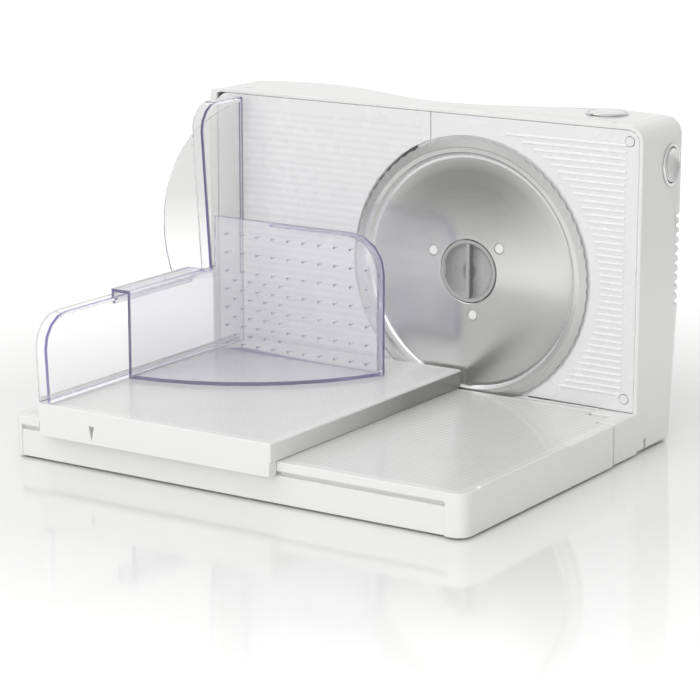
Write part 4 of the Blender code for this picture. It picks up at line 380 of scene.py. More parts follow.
class Graph:
    """A node tree, with short ways to add nodes and to join them."""

    def __init__(self, tree):
        self.nodes = tree.nodes
        self.links = tree.links

    def add(self, kind, **values):
        """A node with its settings."""
        made = self.nodes.new("ShaderNode" + kind)
        for key, value in values.items():
            setattr(made, key, value)
        return made

    def feed(self, node, **values):
        """Fills inputs, each named by its words joined with _, from sockets or with numbers."""
        for key, value in values.items():
            self.fill(node.inputs[key.replace("_", " ")], value)
        return node

    def fill(self, socket, value):
        """Links a socket to another or sets its value, where there is one."""
        if isinstance(value, bpy.types.NodeSocket):
            self.links.new(value, socket)
        elif value is not None:
            socket.default_value = value

    def place(self, kind="Object"):
        """Where each point is, in one of Blender's texture coordinates."""
        return self.add("TexCoord").outputs[kind]

    def split(self, vector):
        """A vector's X, Y and Z."""
        return self.feed(self.add("SeparateXYZ"), Vector=vector).outputs

    def length(self, vector):
        """How long a vector is."""
        made = self.add("VectorMath", operation="LENGTH")
        self.fill(made.inputs[0], vector)
        return made.outputs["Value"]

    def math(self, operation, first, second=None):
        """A Math node fed by sockets or by numbers."""
        made = self.add("Math", operation=operation)
        self.fill(made.inputs[0], first)
        self.fill(made.inputs[1], second)
        return made.outputs[0]

    def times(self, first, second):
        """One value times another."""
        return self.math("MULTIPLY", first, second)

    def noise(self, source, scale, detail=2, stretch=None):
        """A Noise texture, stretched if asked."""
        if stretch:
            source = self.feed(self.add("Mapping"), Vector=source, Scale=stretch).outputs["Vector"]
        return self.feed(self.add("TexNoise"), Vector=source, Scale=scale, Detail=detail).outputs["Fac"]

    def line_noise(self, source, scale, detail):
        """A Noise texture along one value."""
        made = self.add("TexNoise", noise_dimensions="1D")
        return self.feed(made, W=source, Scale=scale, Detail=detail).outputs["Fac"]

    def spread(self, value, low, high):
        """Maps 0 to 1 onto low to high."""
        return self.feed(self.add("MapRange"), Value=value, To_Min=low, To_Max=high).outputs["Result"]

    def fading(self, value, low, high, strength, **kind):
        """0 at one value and strength at another, even between them unless a kind says how."""
        made = self.add("MapRange", **kind)
        self.feed(made, Value=value, From_Min=low, From_Max=high, To_Max=strength)
        return made.outputs["Result"]

    def mix(self, factor, first, second):
        """Mixes two colours, each a socket or a colour, by a factor."""
        made = self.feed(self.add("Mix", data_type="RGBA"), Factor=factor)
        for socket, colour in ((made.inputs[6], first), (made.inputs[7], second)):
            self.fill(socket, (*colour, 1) if isinstance(colour, tuple) else colour)
        return made.outputs[2]

    def bump(self, height, distance, strength=1.0, below=None):
        """A Bump node, on top of another if given."""
        made = self.add("Bump")
        self.feed(made, Height=height, Distance=distance, Strength=strength, Normal=below)
        return made.outputs["Normal"]

    def band(self, value, low, high):
        """1 where a value lies between two limits."""
        return self.times(self.math("GREATER_THAN", value, low), self.math("LESS_THAN", value, high))

    def facing(self, axis, sign):
        """1 on faces that look along an axis."""
        normal = self.split(self.add("NewGeometry").outputs["True Normal"])[axis]
        return self.math("GREATER_THAN", self.times(normal, sign), LOOKS_ALONG)

    def limited(self, split, limits):
        """1 inside every (axis, low, high) limit."""
        mask = None
        for axis, low, high in limits:
            part = self.band(split[axis], low, high)
            mask = part if mask is None else self.times(mask, part)
        return mask


class Surface(Graph):
    """A new material's node tree, with its shader."""

    def __init__(self, name):
        self.material = bpy.data.materials.new(name)
        self.material.use_nodes = True
        super().__init__(self.material.node_tree)
        self.shader = self.nodes["Principled BSDF"]

    def finish(self, **values):
        """Feeds the shader and returns the material."""
        self.feed(self.shader, **values)
        return self.material


def shade(colour, amount):
    """A colour made lighter or darker."""
    return tuple(min(1, channel * amount) for channel in colour)


def tones(colour, shares):
    """A darker and a lighter shade of a colour."""
    return [shade(colour, share) for share in shares]


def span(axis, start, reach):
    """An (axis, low, high) limit, whose reach is in millimetres from its start."""
    return axis, start + reach[0] * MM, start + reach[1] * MM


def inset(axis, box, start, end):
    """An (axis, low, high) limit inside a box, with bare margins in millimetres at its ends."""
    index = "XYZ".index(axis)
    return axis, box[0][index] + start * MM, box[1][index] - end * MM


def section(rows, radii, depths):
    """(radius, along) pairs for a turned piece, from rows that give both in millimetres from named ones."""
    return [(radii[ring] + out * MM, depths[level] + back * MM) for ring, out, level, back in rows]


def moulded(name, colour, ribs=None, lines=(), painted_shades=()):
    """Moulded plastic: faint flow marks, fine grain, and where asked fine ribs with painted shade in their
    valleys, and lines that are seams, marks, painted highlights and painted gap shade.
    ribs is (axis, pitch, valley shade share, facing axis, facing sign, limits), each line is
    (colour share, limits) and each painted shade is (limits, axis, clear end, dark end, strength)."""
    rough, grain = PLASTICS[name]
    surface = Surface(name)
    place = surface.place()
    split = surface.split(place)
    flow = surface.noise(place, scale=14, detail=3)
    tone = surface.mix(flow, *tones(colour, FLOW_TONES))
    for share, limits in lines:
        tone = surface.mix(surface.limited(split, limits), tone, shade(colour, share))
    # Painted shade: each one colours the surface darker towards its dark end
    for limits, axis, low, high, strength in painted_shades:
        dark = surface.fading(split[axis], low, high, strength)
        dark = surface.times(dark, surface.limited(split, limits))
        tone = surface.mix(dark, tone, shade(colour, PAINTED_SHADE_TONE))
    fine = surface.noise(place, scale=1800, detail=1)
    normal = surface.bump(fine, distance=0.02 * MM, strength=grain)
    soft = surface.noise(place, scale=90, detail=1)
    normal = surface.bump(soft, distance=0.05 * MM, strength=0.03, below=normal)
    if ribs:
        axis, pitch, share, face_axis, face_sign, limits = ribs
        wave = surface.math("SINE", surface.times(split[axis], math.tau / pitch))
        mask = surface.times(surface.limited(split, limits), surface.facing(face_axis, face_sign))
        height = surface.times(wave, mask)
        normal = surface.bump(height, distance=RIB_RELIEF, below=normal)
        # Painted shade: the ribs' valleys are coloured darker by the given share
        valley = surface.math("MAXIMUM", surface.times(height, -1.0), 0.0)
        tone = surface.mix(surface.times(valley, share), tone, (0, 0, 0))
    roughness = surface.spread(surface.noise(place, scale=55, detail=4), *rough)
    return surface.finish(
        Base_Color=tone, Roughness=roughness, Normal=normal, IOR=1.5, Coat_Weight=0.3, Coat_Roughness=0.06)


def clear_plastic(name, tint):
    """Clear moulded plastic, whose tint shows where light runs along its thickness."""
    density, base, clearness = CLEAR_PLASTICS[name]
    surface = Surface(name)
    place = surface.place()
    flow = surface.noise(place, scale=25)
    tone = surface.mix(flow, *tones(base, CLEAR_TONES))
    haze = surface.spread(surface.noise(place, scale=40, detail=3), low=0.02, high=0.06)
    absorb = surface.feed(surface.add("VolumeAbsorption"), Color=(*tint, 1), Density=density)
    surface.feed(surface.nodes["Material Output"], Volume=absorb.outputs["Volume"])
    return surface.finish(
        Base_Color=tone, Roughness=haze, Normal=surface.bump(flow, distance=0.06 * MM, strength=0.4),
        Transmission_Weight=clearness, IOR=1.16)


def ground_steel(name, bright_from, bright_to):
    """The blade's steel: rings round its middle, and slanting scratches on its edge."""
    surface = Surface(name)
    moved = surface.feed(surface.add("Mapping"), Vector=surface.place(),
                         Location=(-BLADE_AXIS.x, 0, -BLADE_AXIS.z))
    split = surface.split(moved.outputs["Vector"])
    flat = surface.feed(surface.add("CombineXYZ"), X=split["X"], Z=split["Z"])
    radius = surface.length(flat.outputs["Vector"])
    angle = surface.math("ARCTAN2", split["Z"], split["X"])
    rings = surface.line_noise(radius, scale=1400, detail=3)
    slant = surface.math("ADD", surface.times(radius, SCRATCH_SLANT), angle)
    scratches = surface.line_noise(slant, scale=160, detail=2)
    edge = surface.math("GREATER_THAN", radius, bright_to)
    ring_lines = surface.times(rings, surface.math("SUBTRACT", 1.0, edge))
    lines = surface.math("ADD", ring_lines, surface.times(scratches, edge))
    colour = surface.mix(lines, *STEEL_TONES)
    colour = surface.mix(surface.band(radius, bright_from, bright_to), colour, BRIGHT_STEEL)
    rough = surface.spread(lines, low=0.16, high=0.24)
    rough = surface.math("ADD", rough, surface.times(edge, EDGE_ROUGHER))
    tangent = surface.add("Tangent", direction_type="RADIAL", axis="Y")
    return surface.finish(
        Base_Color=colour, Roughness=rough, Metallic=1.0,
        Normal=surface.bump(lines, distance=0.01 * MM, strength=0.35),
        Anisotropic=0.7, Anisotropic_Rotation=0.25, Tangent=tangent.outputs["Tangent"])


def plain_metal(name):
    """Plain or plated metal with fine drawing lines."""
    colour, rough, scale = METALS[name]
    surface = Surface(name)
    drawn = surface.noise(surface.place(), scale, detail=3, stretch=DRAWN)
    return surface.finish(
        Base_Color=surface.mix(drawn, *tones(colour, METAL_TONES)),
        Roughness=surface.spread(drawn, *(rough * share for share in METAL_ROUGHNESS)),
        Normal=surface.bump(drawn, distance=0.01 * MM, strength=0.4), Metallic=1.0)


def rubber(name):
    """Soft black rubber with a dusty grain."""
    surface = Surface(name)
    place = surface.place()
    dust = surface.noise(place, scale=220, detail=4)
    return surface.finish(
        Base_Color=surface.mix(dust, *RUBBER_TONES),
        Roughness=surface.spread(dust, low=0.7, high=0.9),
        Normal=surface.bump(surface.noise(place, scale=1200), distance=0.05 * MM, strength=0.6))


def deselect():
    """Leaves nothing selected."""
    if bpy.context.object and bpy.context.object.mode != "OBJECT":
        bpy.ops.object.mode_set(mode="OBJECT")
    bpy.ops.object.select_all(action="DESELECT")


def only(piece):
    """Selects one object and makes it active."""
    deselect()
    piece.select_set(True)
    bpy.context.view_layer.objects.active = piece


def start_edit(piece, mode="VERT"):
    """Opens a piece for editing with all of it selected."""
    only(piece)
    bpy.ops.object.mode_set(mode="EDIT")
    bpy.ops.mesh.select_mode(type=mode)
    bpy.ops.mesh.select_all(action="SELECT")


def end_edit():
    """Closes the piece."""
    bpy.ops.object.mode_set(mode="OBJECT")


def face_out():
    """Turns all faces of the open piece outwards."""
    bpy.ops.mesh.select_all(action="SELECT")
    bpy.ops.mesh.normals_make_consistent(inside=False)


def pick(piece, test, mode="VERT"):
    """Selects the vertices or faces whose middle passes a test, and opens the piece."""
    start_edit(piece, mode)
    bpy.ops.mesh.select_all(action="DESELECT")
    end_edit()
    if mode == "VERT":
        for vertex in piece.data.vertices:
            vertex.select = test(vertex.co)
    else:
        for face in piece.data.polygons:
            face.select = test(face.center)
    bpy.ops.object.mode_set(mode="EDIT")


def move(piece, test, step):
    """Moves the vertices that pass a test."""
    pick(piece, test)
    bpy.ops.transform.translate(value=step)
    end_edit()


def resize(piece, test, size, middle):
    """Resizes the vertices that pass a test about a middle."""
    pick(piece, test)
    bpy.ops.transform.resize(value=size, center_override=middle)
    end_edit()


def settle(piece):
    """Moves a piece's place into its mesh."""
    only(piece)
    bpy.ops.object.transform_apply(location=True, rotation=True, scale=True)


def add_cube(middle, size):
    """A box-shaped piece."""
    deselect()
    bpy.ops.mesh.primitive_cube_add(size=1, location=middle, scale=size)
    cube = bpy.context.object
    settle(cube)
    return cube


def round_edges(piece, width, segments=2):
    """Rounds the sharp edges and shades the rest smooth."""
    only(piece)
    modifier = piece.modifiers.new("edges", "BEVEL")
    modifier.width = width
    modifier.segments = segments
    modifier.limit_method = "ANGLE"
    modifier.angle_limit = BEVEL_ANGLE
    modifier.use_clamp_overlap = False
    modifier.miter_outer = "MITER_ARC"
    bpy.ops.object.modifier_apply(modifier=modifier.name)
    smooth(piece)
    return piece


def smooth(piece):
    """Smooth shading, with the flat faces kept flat."""
    only(piece)
    bpy.ops.object.shade_smooth_by_angle(angle=SMOOTH_ANGLE)
    weight = piece.modifiers.new("weights", "WEIGHTED_NORMAL")
    weight.keep_sharp = True
    bpy.ops.object.modifier_apply(modifier=weight.name)


def combine(piece, tool, operation):
    """Joins a piece with a tool or cuts it by one, and takes the tool away."""
    only(piece)
    modifier = piece.modifiers.new("tool", "BOOLEAN")
    modifier.operation = operation
    modifier.object = tool
    modifier.solver = "EXACT"
    bpy.ops.object.modifier_apply(modifier=modifier.name)
    bpy.data.objects.remove(tool, do_unlink=True)


def copy_node(name, node, cleaned=True):
    """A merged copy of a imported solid, ready to be worked on. Uncleaned ones keep their triangles."""
    piece = bpy.data.objects.new(name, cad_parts[node].data.copy())
    bpy.context.scene.collection.objects.link(piece)
    piece.data.name = name
    start_edit(piece)
    bpy.ops.mesh.customdata_custom_splitnormals_clear()
    bpy.ops.mesh.remove_doubles(threshold=MERGE)
    if cleaned:
        bpy.ops.mesh.dissolve_limited(angle_limit=FLAT_ANGLE)
    end_edit()
    return piece


def paint(piece, material):
    """Gives a piece one material in place of those it has."""
    piece.data.materials.clear()
    piece.data.materials.append(material)


def dress(piece, material, body, node):
    """Gives a piece its material, its body and the solid it stands for."""
    paint(piece, material)
    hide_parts(node)
    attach(piece, body)


def refined(name, node, body, material, width, segments=2, cleaned=True):
    """A solid's copy with rounded edges, which stands for it."""
    piece = round_edges(copy_node(name, node, cleaned), width, segments)
    dress(piece, material, body, node)
    return piece


def repaint(material, *nodes):
    """A better material on solids that stay."""
    for node in nodes:
        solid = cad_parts[node]
        paint(solid, material)
        only(solid)
        bpy.ops.object.shade_smooth_by_angle(angle=SMOOTH_ANGLE)


def turned_piece(name, profile, middle, axis, steps):
    """A turned piece, drawn out ring by ring along (radius, along) pairs about an axis."""
    along = {"X": Vector((1, 0, 0)), "Y": Vector((0, 1, 0)), "Z": Vector((0, 0, 1))}[axis]
    turn = {"X": (0, QUARTER, 0), "Y": (QUARTER, 0, 0), "Z": (0, 0, 0)}[axis]
    rings = [(max(radius, POLE_RADIUS), place) for radius, place in profile]
    deselect()
    bpy.ops.mesh.primitive_circle_add(
        vertices=steps, radius=rings[0][0], location=middle + along * rings[0][1], rotation=turn)
    piece = bpy.context.object
    piece.name = name
    piece.data.name = name
    settle(piece)
    start_edit(piece)
    for before, after in zip(rings, rings[1:]):
        step = along * (after[1] - before[1])
        bpy.ops.mesh.extrude_region_move(TRANSFORM_OT_translate={"value": step})
        ratio = after[0] / before[0]
        size = [ratio if part == 0 else 1 for part in along]
        bpy.ops.transform.resize(value=size, center_override=middle + along * after[1])
    bpy.ops.mesh.select_all(action="SELECT")
    bpy.ops.mesh.remove_doubles(threshold=MERGE)
    end_edit()
    close_poles(piece, middle, along)
    start_edit(piece)
    face_out()
    end_edit()
    smooth(piece)
    return piece


def close_poles(piece, middle, along):
    """Merges the tiny rings round the axis into points."""
    def near_axis(point):
        out = point - middle
        return (out - along * out.dot(along)).length < POLE_RADIUS * 2

    pick(piece, near_axis)
    bpy.ops.mesh.remove_doubles(threshold=POLE_RADIUS * 4)
    end_edit()


def from_axis(point):
    """How far a point is from the blade's axis."""
    return math.hypot(point.x - BLADE_AXIS.x, point.z - BLADE_AXIS.z)


def shade_rims(piece, rim):
    """Gives the painted rim shade, a darker copy of the clear plastic, to faces that look along the plastic,
    not through its thickness.
    """
    piece.data.materials.append(rim)
    only(piece)
    index = len(piece.data.materials) - 1
    for face in piece.data.polygons:
        inside = face.center - face.normal * HAIR
        hit, place, normal, number = piece.ray_cast(inside, -face.normal)
        if hit and (place - face.center).length > RIM_REACH:
            face.material_index = index


class SLICER_OT_housing(bpy.types.Operator):
    """The white housing with its seams, ears, vents and holes"""

    bl_idname = "slicer.housing"
    bl_label = "Housing"

    def execute(self, context):
        finish = context.scene.slicer_finish
        lines = []
        for share, side, across, back, depth in HOUSING_LINES:
            lines.append((share, (span("X", side, across), span("Z", HOUSING_HIGH.z, (-depth, 1)),
                                  span("Y", PANEL_LOW.y, back))))
        material = moulded("housing_plastic", finish.white, lines=lines)
        shell = refined("housing_shell", "housing", "housing", material,
                        finish.housing_edge, segments=3)
        resize(shell, lambda point: point.z < HOUSING_LOW.z, (1, 1, 0), (0, 0, HOUSING_LOW.z))
        return {"FINISHED"}


class SLICER_OT_panels(bpy.types.Operator):
    """The ribbed fixed panel, the gauge plate and the screw caps"""

    bl_idname = "slicer.panels"
    bl_label = "Front panels"

    def execute(self, context):
        finish = context.scene.slicer_finish
        # Painted highlight: the ribs' front faces are coloured lighter than the panel
        painted_rib_highlight = [(RIB_HIGHLIGHT_TONE, (span("Y", PANEL_LOW.y, RIB_HIGHLIGHT_DEPTH),))]
        fixed = moulded("fixed_panel_plastic", finish.panel, lines=painted_rib_highlight)
        panel = self.plain_plate(finish)
        additions = self.rib_bars(finish) + [self.ledge()]
        only(panel)
        for piece in additions:
            piece.select_set(True)
        bpy.ops.object.join()
        dress(panel, fixed, "housing", "fixed_panel")
        limits = (inset("X", GAUGE, start=12, end=6), inset("Z", GAUGE, start=6, end=6))
        ribs = ("Z", finish.gauge_pitch, GAUGE_VALLEY_SHADE, "Y", -1, limits)
        gauge = moulded("gauge_plate_plastic", finish.panel, ribs)
        plate = copy_node("ribbed_gauge_plate", "gauge_plate", cleaned=False)
        self.draw_lip_in(plate, lambda point: point.y < GAUGE[1].y + MM, finish)
        move(plate, lambda point: point.z > GAUGE[1].z - NEAR, (0, 0, finish.panel_growth))
        round_edges(plate, finish.panel_edge)
        dress(plate, gauge, "gauge", "gauge_plate")
        caps = moulded("cap_plastic", shade(finish.panel, CAP_TONE))
        for word in ("bottom", "top"):
            refined("cap_" + word, "screw_cap_" + word, "housing", caps, SMALL_EDGE)
        return {"FINISHED"}

    def plain_plate(self, finish):
        """The panel without its ribs: the front is taken off and filled again in one clean sheet."""
        plate = copy_node("ribbed_panel", "fixed_panel", cleaned=False)
        pick(plate, lambda middle: middle.y < PANEL_FACE + TOUCH, "FACE")
        bpy.ops.mesh.delete(type="FACE")
        end_edit()
        self.draw_lip_in(plate, lambda point: abs(point.y - PANEL_FACE) < HAIR, finish)
        self.widen(plate, finish.panel_growth)
        start_edit(plate, "EDGE")
        bpy.ops.mesh.select_all(action="DESELECT")
        bpy.ops.mesh.select_non_manifold()
        bpy.ops.mesh.fill(use_beauty=True)
        face_out()
        end_edit()
        return round_edges(plate, finish.panel_edge)

    def draw_lip_in(self, plate, at_depth, finish):
        """Brings the round cut-out's edge a little nearer to the blade."""
        radius = min(from_axis(vertex.co) for vertex in plate.data.vertices if at_depth(vertex.co))
        share = 1 - finish.recess_lip / radius
        resize(plate, lambda point: at_depth(point) and from_axis(point) < radius + ARC_REACH,
               (share, 1, share), (BLADE_AXIS.x, PANEL_LOW.y, BLADE_AXIS.z))

    def widen(self, plate, growth):
        """Moves the panel's right, left and top edges out, so that the seam round it is fine."""
        corner = Vector((PANEL_HIGH.x - CORNER_RADIUS, 0, PANEL_HIGH.z - CORNER_RADIUS))

        def on_arc(point):
            across, up = point.x - corner.x, point.z - corner.z
            return across > 0 and up > 0 and abs(math.hypot(across, up) - CORNER_RADIUS) < ARC_REACH

        move(plate, lambda point: point.x > PANEL_HIGH.x - NEAR or on_arc(point), (growth, 0, 0))
        move(plate, lambda point: point.x < PANEL_LOW.x + NEAR, (-growth, 0, 0))
        move(plate, lambda point: point.z > PANEL_HIGH.z - NEAR or on_arc(point), (0, 0, growth))

    def rib_bars(self, finish):
        """One rounded bar for each of the solid's ribs, between the ends that the solid gives it."""
        rows = {}
        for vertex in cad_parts["fixed_panel"].data.vertices:
            if vertex.co.y < PANEL_LOW.y + HAIR:
                rows.setdefault(round(vertex.co.z / RIB_PITCH * 2), []).append(vertex.co)
        spans = []
        for key in sorted(rows):
            if spans and key - spans[-1][0] <= 1:
                spans[-1][1].extend(rows[key])
            else:
                spans.append((key, list(rows[key])))
        return [self.bar(points, finish) for key, points in spans]

    def bar(self, points, finish):
        """A bar with rounded edges round a rib's points, whose back is sunk in the plate."""
        bottom, top = min(point.z for point in points), max(point.z for point in points)
        left = min(point.x for point in points)
        right = max(point.x for point in points) + finish.rib_reach
        bar = add_cube(((left + right) / 2, PANEL_FACE, (bottom + top) / 2),
                       (right - left, RIB_PROUD * 2, top - bottom))
        return round_edges(bar, finish.rib_edge, segments=3)

    def ledge(self):
        """The shallow step behind the blade's edge, only on the fixed panel's side."""
        profile = section(LEDGE_SECTION, LEDGE_RADII, {"face": PANEL_FACE})
        ring = turned_piece("recess_ledge", profile, BLADE_AXIS, "Y", LEDGE_STEPS)
        start_edit(ring)
        bpy.ops.mesh.bisect(
            plane_co=(PANEL_LOW.x + LEDGE_START, 0, 0), plane_no=(1, 0, 0), use_fill=True, clear_inner=True)
        end_edit()
        return ring


class SLICER_OT_blade(bpy.types.Operator):
    """The dished blade with its ground, waved edge"""

    bl_idname = "slicer.blade"
    bl_label = "Blade"

    def execute(self, context):
        sizes = context.scene.slicer_blade
        grind = BLADE_RADIUS - sizes.grind_width
        ring = grind - sizes.ring_width
        profile = section(
            BLADE_SECTION, {"axis": 0, "ring": ring, "grind": grind, "rim": BLADE_RADIUS},
            {"front": BLADE_LOW.y, "edge": EDGE_PLACE, "back": BLADE_HIGH.y})
        blade = turned_piece("blade_disc", profile, BLADE_AXIS, "Y", sizes.teeth * WAVE_STEPS)
        self.wave_edge(blade, sizes)
        self.cut_pin_holes(blade)
        dress(blade, ground_steel("blade_ground_steel", ring, grind), "blade", "blade")
        return {"FINISHED"}

    def wave_edge(self, blade, sizes):
        """Grinds the waves: hollows between pointed tips, in the edge and in the band behind it."""
        depth = sizes.wave_depth / BLADE_RADIUS

        def phase(point):
            turn = math.atan2(point.z - BLADE_AXIS.z, point.x - BLADE_AXIS.x) / math.tau * sizes.teeth
            return round((turn % 1) * WAVE_STEPS) % WAVE_STEPS

        def on_band(point):
            return WAVE_HOLLOW < from_axis(point) < WAVE_RIM and point.y < EDGE_PLACE

        for step in range(1, WAVE_STEPS):
            share = 1 - (step / WAVE_STEPS * 2 - 1) ** 2
            scale = 1 - depth * share
            resize(blade, lambda point: from_axis(point) > WAVE_RIM and phase(point) == step,
                   (scale, 1, scale), BLADE_AXIS)
            move(blade, lambda point: on_band(point) and phase(point) == step,
                 (0, sizes.wave_hollow * share, 0))
        only(blade)
        bpy.ops.object.shade_smooth_by_angle(angle=SMOOTH_ANGLE)

    def cut_pin_holes(self, blade):
        """The three holes that the drive pins come through."""
        for degrees in PIN_ANGLES:
            turn = math.radians(degrees)
            place = BLADE_MIDDLE + Vector((math.cos(turn), 0, math.sin(turn))) * PIN_CIRCLE
            deselect()
            bpy.ops.mesh.primitive_cylinder_add(
                vertices=DRILL_STEPS, radius=PIN_HOLE_RADIUS, depth=DRILL_LENGTH, location=place,
                rotation=(QUARTER, 0, 0))
            combine(blade, bpy.context.object, "DIFFERENCE")


class SLICER_OT_drive(bpy.types.Operator):
    """The drive gear with its pins, the axle, the worm and the motor"""

    bl_idname = "slicer.drive"
    bl_label = "Drive"

    def execute(self, context):
        gear = copy_node("pinned_gear", "drive_gear")
        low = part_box("drive_gear")[0]
        step = BLADE_LOW.y + PIN_SINK - low.y
        move(gear, lambda point: point.y < low.y + PIN_HEAD, (0, step, 0))
        round_edges(gear, SMALL_EDGE)
        dress(gear, moulded("gear_nylon", NYLON), "blade", "drive_gear")
        steel = plain_metal("axle_steel")
        repaint(steel, "blade_axle", "worm_shaft", "hinge_pin_left", "hinge_pin_right", "guide_rod_top",
                "guide_rod_bottom", "panel_screw_top", "panel_screw_bottom")
        self.coil_spring(steel)
        repaint(plain_metal("motor_can_steel"), "motor")
        repaint(plain_metal("bearing_brass"), "worm_bearing")
        black = moulded("cradle_plastic", CRADLE_BLACK)
        repaint(black, "motor_cradle", "motor_fan", "power_switch", "safety_switch")
        return {"FINISHED"}

    def coil_spring(self, steel):
        """The power button's spring, smoothed, on a mesh of its own."""
        spring = copy_node("coil_spring", "power_spring", cleaned=False)
        smooth(spring)
        dress(spring, steel, "housing", "power_spring")
        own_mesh(spring)


class SLICER_OT_knob(bpy.types.Operator):
    """The grey lock knob in the blade's middle"""

    bl_idname = "slicer.knob"
    bl_label = "Lock knob"

    def execute(self, context):
        finish = context.scene.slicer_finish
        profile = section(KNOB_SECTION, {"axis": 0}, {
            "end": KNOB_HIGH.y, "back": KNOB_BACK, "face": KNOB_FACE, "floor": KNOB_FLOOR})
        knob = turned_piece("knob_dish", profile, KNOB_MIDDLE, "Y", KNOB_STEPS)
        combine(knob, self.make_fin(), "UNION")
        smooth(knob)
        # Painted shadows: the hollows are coloured darker beside the rim on the left and beside the fin on
        # the right
        deep = ("Y", KNOB_FACE + SHADE_DEPTH, KNOB_HIGH.y)
        shades = []
        for across, ends, strength in KNOB_SHADES:
            limits = (span("X", KNOB_MIDDLE.x, across), deep)
            shades.append((limits, *span("X", KNOB_MIDDLE.x, ends), strength))
        grey = moulded("knob_plastic", finish.grey, painted_shades=shades)
        dress(knob, grey, "lock_knob", "blade_lock_knob")
        return {"FINISHED"}

    def make_fin(self):
        """The finger fin: an upright bar that splits the hollow in two, with a softened front edge."""
        depth = FIN_BACK - FIN_FRONT
        fin = add_cube((KNOB_MIDDLE.x, FIN_FRONT + depth / 2, KNOB_MIDDLE.z), (FIN_WIDTH, depth, FIN_HEIGHT))
        resize(fin, lambda point: point.y < FIN_FRONT + MM, FIN_TAPER,
               (KNOB_MIDDLE.x, FIN_FRONT, KNOB_MIDDLE.z))
        return round_edges(fin, FIN_EDGE, segments=4)


class SLICER_OT_buttons(bpy.types.Operator):
    """The power button on the top and the safety button on the side, with their rings"""

    bl_idname = "slicer.buttons"
    bl_label = "Buttons"

    def execute(self, context):
        finish = context.scene.slicer_finish
        chrome = plain_metal("ring_chrome")
        self.power(moulded("button_plastic", finish.white), chrome)
        self.safety(plain_metal("satin_chrome"), chrome)
        return {"FINISHED"}

    def power(self, white, chrome):
        """The domed white button and its rounded ring."""
        middle = Vector(((POWER_LOW.x + POWER_HIGH.x) / 2, (POWER_LOW.y + POWER_HIGH.y) / 2, 0))
        radius = (POWER_HIGH.x - POWER_LOW.x) / 2
        top = POWER_HIGH.z
        profile = [(radius * share, top - depth * MM) for share, depth in POWER_DOME]
        profile += [(radius - BUTTON_ROUNDING, top - POWER_SKIRT), (POWER_STEM, top - POWER_SKIRT),
                    (POWER_STEM, POWER_LOW.z), (0, POWER_LOW.z)]
        dome = turned_piece("power_dome", profile, middle, "Z", BUTTON_STEPS)
        dress(dome, white, "power_button", "power_button")
        low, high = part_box("power_ring")
        profile = self.ring_profile(radius + RING_GAP, (high.x - low.x) / 2, low.z, high.z)
        ring = turned_piece("power_bezel", profile, middle, "Z", BEZEL_STEPS)
        dress(ring, chrome, "housing", "power_ring")

    def ring_profile(self, inner, outer, start, end):
        """A rounded ring's section, closed."""
        centre, half = (inner + outer) / 2, (outer - inner) / 2
        points = []
        for step in range(RING_STEPS + 1):
            turn = math.pi * step / RING_STEPS
            points.append((centre + half * math.cos(turn), start + (end - start) * math.sin(turn)))
        return points + [points[0]]

    def safety(self, satin, chrome):
        """The hollowed button and its rounded ring, both stretched to the oval of their solids."""
        middle = (SAFETY_LOW + SAFETY_HIGH) / 2
        axis = Vector((0, middle.y, middle.z))
        half = (SAFETY_HIGH.y - SAFETY_LOW.y) / 2
        tall = (SAFETY_HIGH.z - SAFETY_LOW.z) / 2 / half
        start, out = SAFETY_LOW.x, SAFETY_HIGH.x
        profile = [(0, start), (half - BUTTON_ROUNDING, start), (half, start + BUTTON_ROUNDING)]
        profile += [(half + step * MM, out - depth * MM) for step, depth in SAFETY_EDGE]
        profile += [(half * share, out - depth * MM) for share, depth in SAFETY_DISH]
        button = turned_piece("safety_dish", profile, axis, "X", BUTTON_STEPS)
        low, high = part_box("safety_ring")
        profile = self.ring_profile(half + RING_GAP, (high.y - low.y) / 2, low.x, high.x)
        ring = turned_piece("safety_bezel", profile, axis, "X", BEZEL_STEPS)
        for piece in (button, ring):
            resize(piece, lambda point: True, (1, 1, tall), middle)
            smooth(piece)
        dress(button, satin, "safety_button", "safety_button")
        dress(ring, chrome, "housing", "safety_ring")


class SLICER_OT_base(bpy.types.Operator):
    """The folding base with its feet, and the feet under the housing"""

    bl_idname = "slicer.base"
    bl_label = "Base"

    def execute(self, context):
        finish = context.scene.slicer_finish
        high = BASE[1]
        limits = (inset("X", BASE, start=6, end=7), inset("Y", BASE, start=7, end=6),
                  span("Z", high.z, BASE_RIB_DEPTH))
        ribs = ("Y", finish.rib_pitch, BASE_VALLEY_SHADE, "Z", 1, limits)
        # Painted gap shade: a dark band on the base's right side, next to the housing's ear
        side = high.x - SIDE_REACH
        end = max(vertex.co.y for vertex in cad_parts["base_plate"].data.vertices if vertex.co.x > side)
        seam = (HINGE_GAP_SHADE, (("X", side, high.x + MM), span("Y", end, HINGE_GAP_SPAN)))
        white = moulded("base_plastic", finish.white, ribs, [seam])
        refined("folding_base", "base_plate", "base", white, BASE_EDGE, segments=3)
        feet = rubber("foot_rubber")
        for body, words in (("base", ("front_right", "front_left", "rear_right", "rear_left")),
                            ("housing", ("ear_right", "ear_left", "back_right", "back_left"))):
            for word in words:
                refined("pad_" + word, "foot_" + word, body, feet, MOULD_EDGE)
        refined("cord_gland", "cord_inlet", "housing", feet, GLAND_EDGE, segments=3)
        grey = moulded("runner_plastic", finish.grey)
        refined("runner_strip", "carriage_runner", "runner", grey, MOULD_EDGE)
        return {"FINISHED"}


